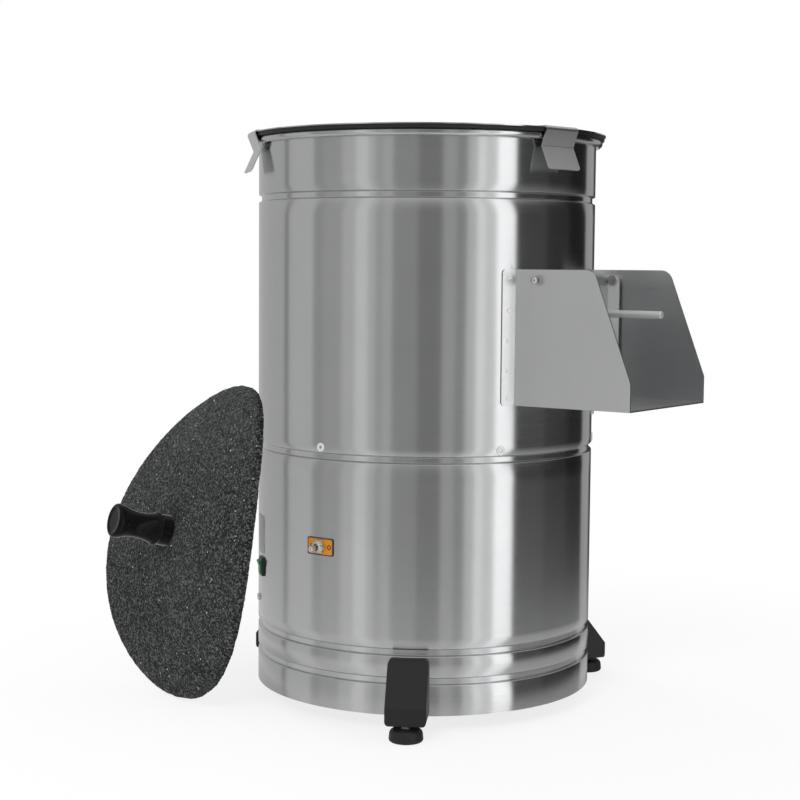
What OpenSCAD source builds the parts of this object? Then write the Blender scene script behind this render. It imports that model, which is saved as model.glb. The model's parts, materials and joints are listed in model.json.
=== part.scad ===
// Electric potato peeler: a drum on three levelling feet, with a discharge chute, a clipped lid,
// a belt drive under the chamber floor, and its abrasive disc taken out and leaned on the casing.
// Millimetres. The origin is on the floor under the drum's axis, +Z is up and the chute points
// along +X. A bearing is an angle about the axis, from -Y (0) towards +X (90).

/* [Casing] */
// Outside diameter of the casing
casing_d = 380; // [340:5:420]
// Thickness of the casing's sheet
sheet = 1.5; // [1:0.1:2]
// Height of the casing's bottom edge above the floor
skirt_z = 18; // [14:1:24]
// Height of the rolled rim's top
rim_z = 629; // [610:1:660]
// Diameter of the rolled rim
bead_d = 8.6; // [6:0.2:10]
// Height of one rolled groove
groove_h = 7; // [5:0.5:9]
// Depth of one rolled groove
groove_depth = 3.5; // [2:0.5:4]
// Top of the lowest groove
groove_1_z = 58; // [56:1:62]
// Top of the second groove
groove_2_z = 88.5; // [86:0.5:92]
// Top of the groove that carries the chamber floor
groove_3_z = 291; // [286:1:294]
// Top of the upper groove
groove_4_z = 566; // [550:1:580]

/* [Chamber] */
// Thickness of the chamber floor's plate
floor_t = 2; // [1.5:0.5:3]
// Height of the floor's flange inside the casing
floor_flange_h = 14; // [12:1:18]
// Diameter of the shank of the floor's rivets
rivet_d = 4.8; // [4:0.2:5]
// Diameter of the head of the floor's rivets
rivet_head_d = 9.6; // [8:0.2:11]
// Height of the head of the floor's rivets
rivet_head_h = 1.3; // [1:0.1:2]
// Height of the floor's rivets above the floor plate's underside
rivet_rise = 5.6; // [5:0.2:8]
// Number of rivets that hold the chamber floor
rivet_count = 6; // [4:1:8]
// Bearing of the screw above the chamber floor's rivets
wall_screw_bearing = 118; // [114:1:122]
// Height of that screw
wall_screw_z = 327; // [322:1:332]
// Thickness of the abrasive lining on the chamber's wall
liner_t = 3; // [2:0.5:4]
// Bottom of the abrasive lining above the chamber floor's flange
liner_gap = 3; // [1:1:8]
// Top of the abrasive lining
liner_top_z = 556; // [520:2:556]

/* [Chute] */
// Outside width of the chute
chute_w = 165.7; // [150:0.1:180]
// Height of the chute's underside
chute_z = 344; // [340:1:350]
// Height of the chute's top edge
chute_top_z = 486; // [484:1:500]
// Length of the chute in front of the casing
chute_l = 119; // [100:1:140]
// Height of the chute's upright front edge
chute_nose_h = 29; // [20:1:40]
// Slope of the chute's front edge from the upright
chute_slope = 21.2; // [15:0.1:25]
// Radius of the chute's upper corner
chute_corner_r = 14; // [6:1:20]
// Width of the flange that rivets the chute to the casing
chute_flange_w = 14.6; // [12:0.2:18]
// Diameter of the shank of the chute's rivets
chute_rivet_d = 3.2; // [2.4:0.2:4]
// Diameter of the head of the chute's rivets
chute_rivet_head_d = 5.6; // [5:0.2:7]
// Height of the head of the chute's rivets
chute_rivet_head_h = 0.9; // [0.7:0.1:1.3]
// Heights of the chute's rivets above its underside
chute_rivet_rises = [8, 36, 67, 100, 134];
// Width of the casing's edge beside the opening behind the door
opening_side = 9.85; // [8.85:0.05:17.85]
// Bottom of that opening
opening_z = 352; // [350:1:356]
// Top of that opening
opening_top_z = 470; // [460:1:470]
// Thickness of the door's rubber seal
seal_t = 1.4; // [1:0.1:2]
// Width of the door's rubber seal
seal_w = 4; // [3.5:0.5:5]

/* [Door] */
// Depth of the door's side arms
arm_w = 21; // [18:1:26]
// How far the arms reach back behind the door's plate
arm_back = 5.5; // [4:0.5:7]
// Radius of the arms' upper front corner
arm_corner_r = 9; // [4:1:10]
// Bottom edge of the door above the chute's floor
door_floor_gap = 4; // [3:0.5:8]
// Height of the door's pivot
pivot_z = 475; // [474:0.5:477]
// Distance from the door plate's back to its pivot
pivot_out = 8; // [8:0.5:9]
// Diameter of the pivot bolts
pivot_d = 6; // [5:0.5:7]
// Width across the flats of the pivot bolts' heads
pivot_af = 10; // [9:0.5:11]
// Thickness of the washers between the arms and the cheeks
pivot_washer_t = 3; // [2:0.5:4]
// Diameter of the door's handle rod
handle_d = 8; // [6:0.5:10]
// Length of the handle rod in front of the door
handle_l = 107; // [80:1:112]
// Height of the handle rod
handle_z = 440; // [430:1:450]

/* [Lid] */
// Thickness of the lid's sheet
lid_t = 1.2; // [1:0.1:2]
// How far the lid reaches past the rolled rim
lid_overhang = 3.6; // [2:0.1:3.6]
// Thickness of the lid's rubber gasket
gasket_t = 4; // [3:0.5:6]
// Diameter of the lid's raised panel
lid_panel_d = 300; // [240:5:320]
// Height of the lid's raised panel
lid_panel_h = 4; // [2:0.5:8]
// Depth of the flange that centres the lid in the drum
lid_spigot_h = 8; // [5:0.5:8]
// Width of a lid clip
clip_w = 50; // [40:1:60]
// Thickness of a lid clip
clip_t = 1.3; // [1:0.1:1.8]
// Bearing of the first lid clip
clip_bearing = 80; // [70:1:90]
// Depth of the clips' nose below the rim
clip_nose_drop = 14.5; // [13:0.5:18]
// Height of the clips' finger tab
clip_tab_h = 24.5; // [18:0.5:30]
// How far the finger tab swings outward
clip_tab_out = 11; // [6:0.5:14]
// Length of a clip's foot on the lid
clip_foot = 20; // [14:1:24]

/* [Feet] */
// Bearing of the first foot
foot_bearing = 31; // [20:1:34]
// Distance of the feet's middles outside the casing
foot_out = 31; // [24:1:34]
// Diameter of a foot's pad
pad_d = 36; // [30:1:40]
// Height of a foot's pad
pad_h = 14; // [10:1:15]
// Diameter of the levelling studs
stud_d = 10; // [8:1:12]
// Length of a stud above its pad
stud_l = 30; // [24:1:40]
// Width of a foot bracket
bracket_w = 43; // [36:1:50]
// Depth of a foot bracket outside the casing
bracket_depth = 44; // [42:1:50]
// Height of the bracket's upright front face
bracket_front_h = 19; // [14:1:26]
// Height of the bracket against the casing
bracket_h = 62; // [56:1:66]
// Slope of the bracket's upper face from the upright
bracket_slope = 39; // [34:1:44]
// Diameter of the bracket bolts
bracket_bolt_d = 8; // [6:1:8]
// Height of the two bracket bolts above the bracket's bottom
bracket_bolt_rises = [17, 49];

/* [Drive] */
// Diameter of the spindle
spindle_d = 20; // [16:1:24]
// Top of the spindle above the chamber floor
spindle_rise = 52; // [44:1:56]
// Length of the spindle's plain nose above its groove
spindle_nose_l = 20; // [12:1:20]
// Diameter of the drive pin across the spindle
drive_pin_d = 8; // [6:1:10]
// Length of the drive pin
drive_pin_l = 44; // [36:1:48]
// Height of the drive pin above the chamber floor
drive_pin_rise = 24; // [20:1:28]
// Outside diameter of the spindle's bearings
bearing_od = 47; // [40:1:52]
// Width of the spindle's bearings
bearing_w = 14; // [10:1:16]
// Distance between the two bearings' middles
bearing_span = 43; // [36:1:50]
// Diameter of the bearing housing
housing_d = 78; // [70:1:84]
// Diameter of the bearing housing's flange
housing_flange_d = 120; // [112:1:130]
// Thickness of the bearing housing's flange
housing_flange_t = 8; // [6:1:10]
// Diameter of the housing's neck through the chamber floor
neck_d = 54; // [48:1:58]
// Height of the neck above the chamber floor
neck_h = 10; // [8:1:12]
// Diameter of the shaft seal
shaft_seal_d = 40; // [34:1:42]
// Height of the shaft seal
shaft_seal_h = 8; // [6:1:9]
// Bolt circle of the bearing housing
housing_pcd = 98; // [94:1:104]
// Diameter of the bearing housing's bolts
housing_bolt_d = 8; // [6:1:8]
// Gap between the pitch circles of the two pulleys
pulley_space = 12; // [8:1:20]
// Pitch diameter of the motor's pulley
motor_pitch_d = 40; // [38:1:60]
// Middle height of the belt
belt_z = 192.5; // [190:0.5:195]
// Width of the belt's back
belt_w = 13; // [11:0.5:15]
// Height of the belt's section
belt_h = 8; // [6:0.5:9]
// Half angle of the belt's groove
belt_half_angle = 19; // [17:0.5:20]
// Width of a pulley's rim
pulley_w = 22; // [20:1:26]

/* [Motor] */
// Gap between the motor and the casing
motor_gap = 13.5; // [11.5:0.5:17.5]
// Outside diameter of the motor
motor_d = 126; // [110:2:128]
// Length of the motor's frame
motor_l = 84; // [70:1:96]
// Height of the motor's plate above the floor
motor_plate_z = 166; // [162:1:170]
// Thickness of the motor's plate
motor_plate_t = 5; // [4:0.5:6]
// Thickness of the motor's frame
motor_wall = 4; // [3:0.5:6]
// Length of a motor end cover
motor_cover_h = 22; // [18:1:28]
// Diameter of the motor's shaft
motor_shaft_d = 14; // [12:1:16]
// Diameter of the rotor
rotor_d = 62; // [56:1:70]
// Radial gap between rotor and stator
rotor_gap = 0.5; // [0.3:0.1:1]
// Diameter of the hangers that carry the motor's plate
hanger_d = 12; // [10:1:14]
// Bolt circle of the motor's face
motor_pcd = 90; // [84:2:96]
// Diameter of the motor's face bolts
motor_bolt_d = 6; // [5:0.5:8]
// Width across the flats of the motor's face bolts
motor_bolt_af = 10; // [9:0.5:13]
// Height of the heads of the motor's face bolts
motor_bolt_head_h = 4; // [3:0.5:5]
// Diameter of the run capacitor
capacitor_d = 40; // [34:1:44]
// Height of the run capacitor
capacitor_h = 60; // [50:1:62]
// Bearing of the run capacitor
capacitor_bearing = -42; // [-46:1:-38]
// Height of the screw that holds the run capacitor
capacitor_screw_z = 114; // [110:1:118]

/* [Switches] */
// Width of the selector's plate
plate_w = 34; // [30:0.5:40]
// Height of the selector's plate
plate_h = 18.5; // [17:0.5:24]
// Thickness of the selector's plate
plate_t = 1; // [0.6:0.1:1.5]
// Height of the selector
selector_z = 191; // [170:1:205]
// Bearing of the selector
selector_bearing = 0; // [-4:1:4]
// Diameter of the selector's threaded bush
bush_d = 12; // [11:0.5:13]
// Diameter of the bush's bore
bush_bore = 6.2; // [6:0.1:7]
// Length of the bush outside the casing
bush_l = 9; // [7:0.5:10]
// Width across the flats of the selector's nut
bush_nut_af = 14; // [13:0.5:16]
// Length of the selector's lever from its pivot
lever_l = 17; // [14:0.5:20]
// Lean of the lever from the middle
lever_lean = 13; // [8:1:14]
// Bearing of the power switch
power_bearing = -36.7; // [-38:0.1:-34]
// Height of the power switch
power_z = 152; // [148:1:160]
// Width of the power switch's bezel
bezel_w = 15; // [14:0.5:17]
// Height of the power switch's bezel
bezel_h = 21; // [20.5:0.5:23]
// Thickness of the power switch's bezel
bezel_t = 2.2; // [1.6:0.1:3]
// Width of the rocker
rocker_w = 10.6; // [9:0.2:11]
// Radius of the rocker about its pivot
rocker_r = 8.5; // [8:0.1:8.6]
// Tilt of the rocker from the middle
rocker_tilt = 9; // [6:1:10]
// Width of the blank data plate
label_w = 31.5; // [28:0.5:34]
// Height of the blank data plate
label_h = 42; // [36:1:44]
// Height of the data plate's middle
label_z = 188; // [186:1:194]
// Bearing of the data plate's middle
label_bearing = -38.5; // [-40:0.5:-36]

/* [Services] */
// Bearing of the drain spout
drain_bearing = 220; // [216:1:226]
// Diameter of the drain spout
drain_d = 40; // [32:1:42]
// Outside diameter of the collar that is welded to the casing round the spout
drain_collar_d = 50; // [46:1:56]
// Length of the drain spout outside the casing
drain_l = 46; // [30:1:60]
// Bearing of the water inlet
inlet_bearing = 226; // [222:1:234]
// Height of the water inlet
inlet_z = 596; // [590:1:600]
// Diameter of the water inlet's pipe
inlet_d = 12.7; // [10:0.1:14]
// Length of the water inlet outside the casing
inlet_l = 32; // [20:1:40]
// Bearing of the cable gland
gland_bearing = 240; // [236:1:250]
// Height of the cable gland
gland_z = 112; // [108:1:130]
// Thread diameter of the cable gland
gland_d = 16; // [12:1:20]
// Bore of the cable gland
gland_bore = 9; // [6:0.5:10]

/* [Abrasive disc] */
// Gap between the disc's edge and the lining when it is in the drum
disc_gap = 5; // [4:0.5:14]
// Thickness of the abrasive disc
disc_t = 9; // [6:0.5:10]
// Height of the disc's domed middle above its rim
disc_dome = 28; // [15:1:34]
// Height of the disc's wave at its rim
disc_wave = 22; // [4:1:24]
// Lean of the disc from the upright
disc_lean = 15; // [12:0.5:20]
// Turn of the leaned disc about its own middle
disc_roll = -30; // [-45:1:45]
// Bearing that the leaned disc faces
disc_facing = -23; // [-26:0.5:-18]
// Bearing of the leaned disc's middle
disc_bearing = -47; // [-50:0.5:-44]
// Clearance between the leaned disc and the casing
disc_rest_gap = 0.3; // [0.2:0.1:2]
// Diameter of the disc's hub
hub_d = 60; // [52:1:64]
// Length of the disc's hub
hub_l = 34; // [30:1:40]
// Length of the knob
knob_l = 67; // [55:1:75]
// Diameter of the knob's ends
knob_d = 38; // [32:1:42]
// Diameter of the knob's waist
knob_waist_d = 27; // [22:1:30]

/* [Fits] */
// Radial clearance of a shaft in its bore
running_gap = 0.05; // [0.02:0.01:0.1]
// Clearance between a moving piece and its neighbour
side_gap = 0.1; // [0.05:0.05:0.3]
// Clearance between the belt and its pulleys
belt_gap = 0.3; // [0.2:0.05:0.4]
// Clearance between the lid's clips and the rolled rim
clip_gap = 0.3; // [0.2:0.05:0.5]

/* [Hidden] */
$fn = 64;
smooth = 360;                            // facets of what is turned about the drum's axis
R = casing_d / 2;                        // outer radius of the casing
R_in = R - sheet;                        // inner radius of the casing
bead_c = [R_in + bead_d / 2, rim_z - bead_d / 2];
bead_out = R_in + bead_d;                // outermost radius of the rolled rim
groove_tops = [groove_1_z, groove_2_z, groove_3_z, groove_4_z];
groove_steps = 6;

floor_z = groove_3_z + 0.2;              // underside of the chamber floor, on the groove's shoulder
floor_top = floor_z + floor_t;
rivet_z = floor_z + rivet_rise;
rivet_bearings = [for (i = [0:rivet_count - 1]) i * 360 / rivet_count];
rivet_seat = 0.05;                       // the wall's curve under a rivet's bulb
rivet_bulb_h = 2.5;
rivet_bulb_out = 0.8;                    // of a rivet's bulb past its shank
rivet_edge = 0.3;                        // thickness of a rivet's head at its edge
screw_d = 4;
screw_l = 7;
screw_head_h = 2.6;
// Bearing and height of the pan-head screws in the casing
screws = [[wall_screw_bearing, wall_screw_z], [capacitor_bearing, capacitor_screw_z]];
liner_z = floor_z + floor_flange_h + liner_gap;
glue = 0.05;

chute_reach = R + chute_l;
opening_w = chute_w - 2 * opening_side;  // of the opening in the casing behind the door
chute_in = chute_w / 2 - sheet;          // inner face of a cheek
cheek_angle = asin(chute_w / 2 / R);     // bearing of a cheek from the chute's own
flange_angle = chute_flange_w / R * 180 / PI;
chute_rivet_places = [for (side = [-1, 1], rise = chute_rivet_rises)
    [90 + side * (cheek_angle + flange_angle * 0.45), chute_z + rise]];
door_half = chute_in - pivot_washer_t - side_gap;
door_back = R + seal_t + side_gap;       // back face of the door's plate
door_z = chute_z + sheet + door_floor_gap;
door_top = pivot_z + 3;
arm_top = pivot_z + 6;
pivot_x = door_back + pivot_out;
handle_foot_r = handle_d / 2 + 3;        // of the weld at the rod's foot
pivot_washer_d = 12;
pivot_head_h = 4;
pivot_nut_h = 5;
pivot_cap_h = 6;

spigot_gap = 1.5;
lid_r = bead_out + lid_overhang;
lid_z = rim_z + gasket_t;                // underside of the lid's sheet
lid_top = lid_z + lid_t;
spigot_r = R_in - spigot_gap;
clip_nose_out = 0.45;                    // of the clips' nose from the middle of the rolled rim
clip_nose = [bead_c.x + clip_nose_out, rim_z - clip_nose_drop];
clip_reach = norm(bead_c - clip_nose);
clip_angle = asin((bead_d / 2 + clip_gap) / clip_reach)
    + atan2(bead_c.x - clip_nose.x, bead_c.y - clip_nose.y);
clip_top = [clip_nose.x + (lid_top - clip_nose.y) * tan(clip_angle), lid_top];
clip_tip = clip_nose + [clip_tab_out, -clip_tab_h];
clip_inner = clip_top.x - clip_foot;

foot_bearings = [for (k = [0:2]) foot_bearing + 120 * k];
foot_r = R + foot_out;
bracket_reach = R + bracket_depth;
bracket_top = skirt_z + bracket_h;
bracket_bolt_bite = 14;
bracket_corner = 5;
stud_sink = 8;                           // how deep a stud sits in its pad
stud_top = pad_h + stud_l;

housing_top = floor_z;
housing_bolt_head_d = 12.8;
housing_bolt_head_h = 5;
housing_nut_h = 6.5;
housing_bolt_places = [for (a = [45:90:315]) housing_pcd / 2 * [cos(a), sin(a)]];
upper_bearing_z = floor_z - housing_flange_t - bearing_w / 2;
lower_bearing_z = upper_bearing_z - bearing_span;
housing_z = lower_bearing_z - bearing_w / 2 - 4;
spindle_r = spindle_d / 2;
spindle_thread_r = spindle_r - 2;
collar_r = spindle_r + 3;
collar_z = upper_bearing_z + bearing_w / 2 + side_gap;
drive_pin_z = floor_top + drive_pin_rise;
spindle_top = floor_top + spindle_rise;
nose_z = spindle_top - 2 - spindle_nose_l;  // bottom of the spindle's plain nose
nose_groove = 1.5;
motor_offset = R_in - motor_gap - motor_d / 2;  // from the spindle to the motor's shaft
spindle_pitch_d = 2 * (motor_offset - motor_pitch_d / 2 - pulley_space);
pulley_z = belt_z - pulley_w / 2;
pulley_hub_top = housing_z - 2;
spindle_nut_h = 10;
spindle_z = pulley_z - spindle_nut_h;
neck_top = floor_top + neck_h;

motor_plate_top = motor_plate_z + motor_plate_t;
motor_r = motor_d / 2;
motor_top = motor_plate_z;               // face of the upper end cover
frame_top = motor_top - motor_cover_h;
frame_z = frame_top - motor_l;
motor_z = frame_z - motor_cover_h;
shaft_r = motor_shaft_d / 2;
rib_h = 3;                               // height of the motor frame's cooling ribs
rib_w = 2.4;
motor_bolt_bite = 6;
cover_bevel = 5;
cover_wall = 9;
stack_inset = 6;                         // of the windings inside the ends of the motor's frame
hanger_x = 76;
hanger_ys = [motor_offset - 20, motor_offset + 30];
plate_margin = 12;
hanger_bolt_d = 8;
hanger_places = [for (x = [-hanger_x, hanger_x], y = hanger_ys) [x, y]];
motor_bolt_places = [for (a = [45:90:315]) [0, motor_offset] + motor_pcd / 2 * [cos(a), sin(a)]];
motor_pulley_top = belt_z + pulley_w / 2;
belt_steps = 40;                         // facets of the belt round each pulley

capacitor_r = R - screw_l - 0.5 - capacitor_d / 2;
capacitor_top = capacitor_screw_z + 14;
clamp_h = 16;
clamp_w = 24;
clamp_block = 12;                        // depth of the block between the clamp's band and the casing

bush_nut_h = 3;
selector_depth = 26;
lever_pivot = R + bush_l - 3;
rocker_pivot = R - 0.5;
power_depth = 20;

drain_z = floor_top + 2 + drain_d / 2;
drain_collar_h = 5;
gland_flange_h = 5;
inlet_thread_d = inlet_d + 2.3;
inlet_nut_h = 8;

disc_r = R_in - liner_t - disc_gap;
disc_hole_r = 10;
disc_rings = 9;
disc_sides = 60;
// The disc's rim as it leans, about its middle: first out of the drum, then sideways, then up
disc_rim = [for (j = [0:disc_sides - 1], below = [0, disc_t])
    let (a = 360 * j / disc_sides, h = face_h(disc_r * [cos(a), sin(a)]) - below,
        p = disc_r * [cos(a + disc_roll), sin(a + disc_roll)],
        back = p.y * sin(disc_lean) - h * cos(disc_lean), turn = 90 - disc_bearing + disc_facing)
    [p.x * cos(turn) - back * sin(turn), p.x * sin(turn) + back * cos(turn),
        p.y * cos(disc_lean) + h * sin(disc_lean)]];
disc_z = -min([for (p = disc_rim) p.z]);      // its lowest point is on the floor
disc_stand = max([for (p = disc_rim) sqrt(pow(R + disc_rest_gap, 2) - p.y * p.y) - p.x]);
hub_top = disc_dome - disc_t - (disc_dome + disc_wave) * pow(hub_d / 2 / disc_r, 2) - side_gap;
knob_flare = 3;
knob_stud_d = 12;

// ---- Shared geometry -------------------------------------------------------------------------

function unit(v) = v / norm(v);

// Points of an arc about c
function arc(c, r, from, to, steps = 6) =
    [for (i = [0:steps]) c + r * [cos(from + (to - from) * i / steps), sin(from + (to - from) * i / steps)]];

// Rounded corner at p, on the way from a to b
function corner(a, p, b, r) =
    let (u = unit(a - p), v = unit(b - p), half = acos(u * v) / 2,
        c = p + unit(u + v) * r / sin(half), s = p + u * r / tan(half), e = p + v * r / tan(half),
        from = atan2(s.y - c.y, s.x - c.x), to = atan2(e.y - c.y, e.x - c.x),
        turn = (to - from + 540) % 360 - 180)
    arc(c, r, from, from + turn);

// Normal on the left of the way from a to b
function left(a, b) = let (u = unit(b - a)) [-u.y, u.x];

// Outline of a bent strip of sheet: its path, and the same path moved to its left by t
function strip(path, t) =
    let (n = len(path) - 1)
    concat(path, [for (i = [n:-1:0])
        let (m = left(path[max(i - 1, 0)], path[max(i, 1)]),
            k = left(path[min(i, n - 1)], path[min(i + 1, n)]))
        path[i] + (m + k) * t / (1 + m * k)]);

// Radius of the rolled wall at step i of a groove, and the points of all grooves from the bottom up
function wall(r, depth) =
    [for (top = groove_tops) for (i = [0:groove_steps])
        [r - depth * sin(180 * i / groove_steps), top - groove_h + groove_h * i / groove_steps]];

// Turns local +X to a bearing
module at_bearing(a) rotate([0, 0, a - 90]) children();

// Lays local +Z outward along a bearing, from radius r at height z
module outward(a, z, r) at_bearing(a) translate([r, 0, z]) rotate([0, 90, 0]) children();

// A ring from radius a to radius b
module ring(a, b, z, h) translate([0, 0, z]) difference() {
    cylinder(r = b, h = h, $fn = smooth);
    translate([0, 0, -1]) cylinder(r = a, h = h + 2, $fn = smooth);
}

// Keeps what lies outside, or inside, a radius about the drum's axis
module outside(r) difference() {
    children();
    translate([0, 0, -1]) cylinder(r = r, h = lid_top + 50, $fn = smooth);
}
module inside(r) intersection() {
    children();
    translate([0, 0, -1]) cylinder(r = r, h = lid_top + 50, $fn = smooth);
}

// Upright round holes or posts at a list of places
module posts(places, z, d, h) for (p = places) translate([p.x, p.y, z]) cylinder(d = d, h = h);

module hex(af, h) cylinder(r = af / sqrt(3), h = h, $fn = 6);

// A rectangle with round corners, about its middle
module round_rect(w, h, r) {
    square([w - 2 * r, h], center = true);
    square([w, h - 2 * r], center = true);
    for (x = [-1, 1], y = [-1, 1]) translate([x * (w / 2 - r), y * (h / 2 - r)]) circle(r);
}

// A skin plate of thickness t on its glue on the casing
module skin_plate(a, z, w, h, r, t) intersection() {
    ring(R + glue, R + t, z - h, 2 * h);
    outward(a, z, R - 20) linear_extrude(60) round_rect(h, w, r);
}

// A block through the wall where the door opens, its edges moved in by t
module door_opening(t = 0) translate([R - 60, -opening_w / 2 + t, opening_z + t])
    cube([80, opening_w - 2 * t, opening_top_z - opening_z - 2 * t]);

module rivet_hole(a, z, d = rivet_d) outward(a, z, R_in - 12) cylinder(d = d, h = 24);

// A pop rivet through the casing and the sheets in front of it and behind it, with its hollow head
// outside and its bulb inside
module pop_rivet(a, z, front, behind, d, head_d, head_h) outward(a, z, R + front) rotate_extrude() {
    grip = front + sheet + behind + rivet_seat;
    bulb_r = d / 2 + rivet_bulb_out;
    round_r = head_h - rivet_edge;
    polygon(concat([[0, -grip - rivet_bulb_h], [d / 2, -grip - rivet_bulb_h],
        [bulb_r, -grip - rivet_bulb_h + 1], [bulb_r, -grip], [d / 2, -grip], [d / 2, 0], [head_d / 2, 0]],
        arc([head_d / 2 - round_r, rivet_edge], round_r, 0, 90, 4),
        [[d * 0.32, head_h], [d * 0.26, rivet_edge], [0, rivet_edge]]));
}

// ---- Casing ----------------------------------------------------------------------------------

module casing_shell() rotate_extrude($fn = 128) {
    polygon(concat([[R, skirt_z]], wall(R, groove_depth), [[R, bead_c.y]],
        [[R_in, bead_c.y]], [for (i = [len(wall(0, 0)) - 1:-1:0]) wall(R_in, groove_depth)[i]],
        [[R_in, skirt_z]]));
    translate(bead_c) difference() {
        circle(d = bead_d);
        circle(d = bead_d - 2 * sheet);
        translate([-bead_d / 2 + sheet, -bead_d / 2 - 1]) square([sheet, bead_d / 2]);
    }
}

module casing() color("silver") difference() {
    casing_shell();
    door_opening();
    for (a = rivet_bearings) rivet_hole(a, rivet_z);
    for (p = chute_rivet_places) rivet_hole(p[0], p[1], chute_rivet_d);
    outward(drain_bearing, drain_z, R - 20) cylinder(d = drain_d, h = 40);
    outward(inlet_bearing, inlet_z, R - 20) cylinder(d = inlet_thread_d, h = 40);
    outward(gland_bearing, gland_z, R - 20) cylinder(d = gland_d, h = 40);
    outward(selector_bearing, selector_z, R - 20) cylinder(d = bush_d, h = 40);
    outward(power_bearing, power_z, R - 20) translate([0, 0, 20])
        cube([2 * rocker_r + 2, bezel_w - 2, 40], center = true);
    for (s = screws) outward(s[0], s[1], R - 20) cylinder(d = screw_d, h = 40);
    for (a = foot_bearings, rise = bracket_bolt_rises)
        outward(a, skirt_z + rise, R - 20) cylinder(d = bracket_bolt_d, h = 40);
}

module casing_screws() color("gainsboro") for (s = screws) outward(s[0], s[1], R) rotate_extrude()
    polygon(concat([[0, -screw_l], [screw_d / 2, -screw_l], [screw_d / 2, 0], [screw_d, 0]],
        arc([screw_d - 1.6, screw_head_h - 1.6], 1.6, 0, 90, 4), [[0, screw_head_h]]));

module abrasive_liner() color([0.3, 0.3, 0.3]) difference() {
    ring(R_in - liner_t, R_in, liner_z, liner_top_z - liner_z);
    door_opening();
    outward(drain_bearing, drain_z, R - 30) cylinder(d = drain_d, h = 50);
    for (p = chute_rivet_places) outward(p[0], p[1], R - 20) cylinder(d = chute_rivet_d + 2, h = 30);
    for (s = screws) outward(s[0], s[1], R - 20) cylinder(d = screw_d, h = 40);
}

module chamber_floor() color("silver") difference() {
    union() {
        ring(neck_d / 2, R_in, floor_z, floor_t);
        ring(R_in - sheet, R_in, floor_z, floor_flange_h);
    }
    for (a = rivet_bearings) rivet_hole(a, rivet_z);
    outward(drain_bearing, drain_z, R - 30) cylinder(d = drain_d, h = 50);
    posts(housing_bolt_places, floor_z - 1, housing_bolt_d, floor_t + 2);
    posts(hanger_places, floor_z - 1, hanger_bolt_d, floor_t + 2);
}

module floor_rivets() color("gainsboro") for (a = rivet_bearings)
    pop_rivet(a, rivet_z, 0, sheet, rivet_d, rivet_head_d, rivet_head_h);

module drain_spout() color("silver") difference() {
    union() {
        outside(R_in - liner_t) outward(drain_bearing, drain_z, R - 30)
            cylinder(d = drain_d, h = drain_l + 30);
        outside(R) outward(drain_bearing, drain_z, R - 5)
            cylinder(d = drain_collar_d, h = 5 + drain_collar_h);
    }
    outward(drain_bearing, drain_z, R - 40) cylinder(d = drain_d - 2 * sheet, h = drain_l + 50);
}

// A threaded bush through the casing, flush inside, that ends in a hose tail
module water_inlet() color("silver") difference() {
    union() {
        outside(R_in) outward(inlet_bearing, inlet_z, R_in - 4)
            cylinder(d = inlet_thread_d, h = 5 + sheet + inlet_nut_h);
        outward(inlet_bearing, inlet_z, R) cylinder(d = inlet_d, h = inlet_l);
    }
    outward(inlet_bearing, inlet_z, R - 15) cylinder(d = inlet_d - 3, h = inlet_l + 20);
}

module inlet_nut() color("goldenrod") difference() {
    outside(R) outward(inlet_bearing, inlet_z, R - 2) hex(inlet_thread_d + 8, inlet_nut_h + 2);
    outward(inlet_bearing, inlet_z, R - 30) cylinder(d = inlet_thread_d, h = 60);
}

// ---- Chute and door --------------------------------------------------------------------------

// Outline of a cheek, along X and up Z
function cheek_points() =
    let (nose = [chute_reach, chute_z + chute_nose_h],
        top = [chute_reach - (chute_top_z - nose.y) * tan(chute_slope), chute_top_z])
    concat([[R - 40, chute_z], [chute_reach, chute_z], nose],
        corner(nose, top, [R, chute_top_z], chute_corner_r), [[R - 40, chute_top_z]]);

module chute() color("silver") {
    difference() {
        chute_sheet();
        at_pivot_line() cylinder(d = pivot_d, h = 2 * chute_w, center = true);
    }
    for (side = [-1, 1]) chute_flange(side);
}

// Cheeks and floor, without their flanges
module chute_sheet() outside(R) {
    for (side = [-1, 1]) translate([0, side * (chute_w / 2 - sheet / 2) + sheet / 2, 0])
        rotate([90, 0, 0]) linear_extrude(sheet) polygon(cheek_points());
    translate([R - 40, -chute_in - 0.01, chute_z]) cube([chute_reach - R + 40, 2 * chute_in + 0.02, sheet]);
}

module at_pivot_line() translate([pivot_x, 0, pivot_z]) rotate([90, 0, 0]) children();

module chute_flange(side) difference() {
    intersection() {
        ring(R, R + sheet, chute_z - 10, chute_top_z - chute_z + 20);
        outward(90 + side * (cheek_angle + flange_angle / 2 - 0.2), (chute_z + chute_top_z) / 2, R - 20)
            linear_extrude(60) round_rect(chute_top_z - chute_z, chute_flange_w + 1.3, 4);
    }
    for (p = chute_rivet_places) rivet_hole(p[0], p[1], chute_rivet_d);
}

module chute_rivets() color("gainsboro") for (p = chute_rivet_places)
    pop_rivet(p[0], p[1], sheet, 0, chute_rivet_d, chute_rivet_head_d, chute_rivet_head_h);

// Collar that lines the opening from the abrasive lining out to the seal's flat
module door_frame() color("silver") difference() {
    door_opening();
    translate([R, -opening_w, opening_z - 1]) cube([R, 2 * opening_w, opening_top_z]);
    translate([-1, 0, 0]) door_opening(sheet);
    cylinder(r = R_in - liner_t, h = lid_top, $fn = smooth);
}

module door_seal() color([0.1, 0.1, 0.1]) translate([R, 0, (opening_z + opening_top_z) / 2])
    rotate([0, 90, 0]) linear_extrude(seal_t) difference() {
        round_rect(opening_top_z - opening_z + seal_w - sheet, opening_w + seal_w - sheet, 3);
        square([opening_top_z - opening_z - seal_w, opening_w - seal_w], center = true);
    }

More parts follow.
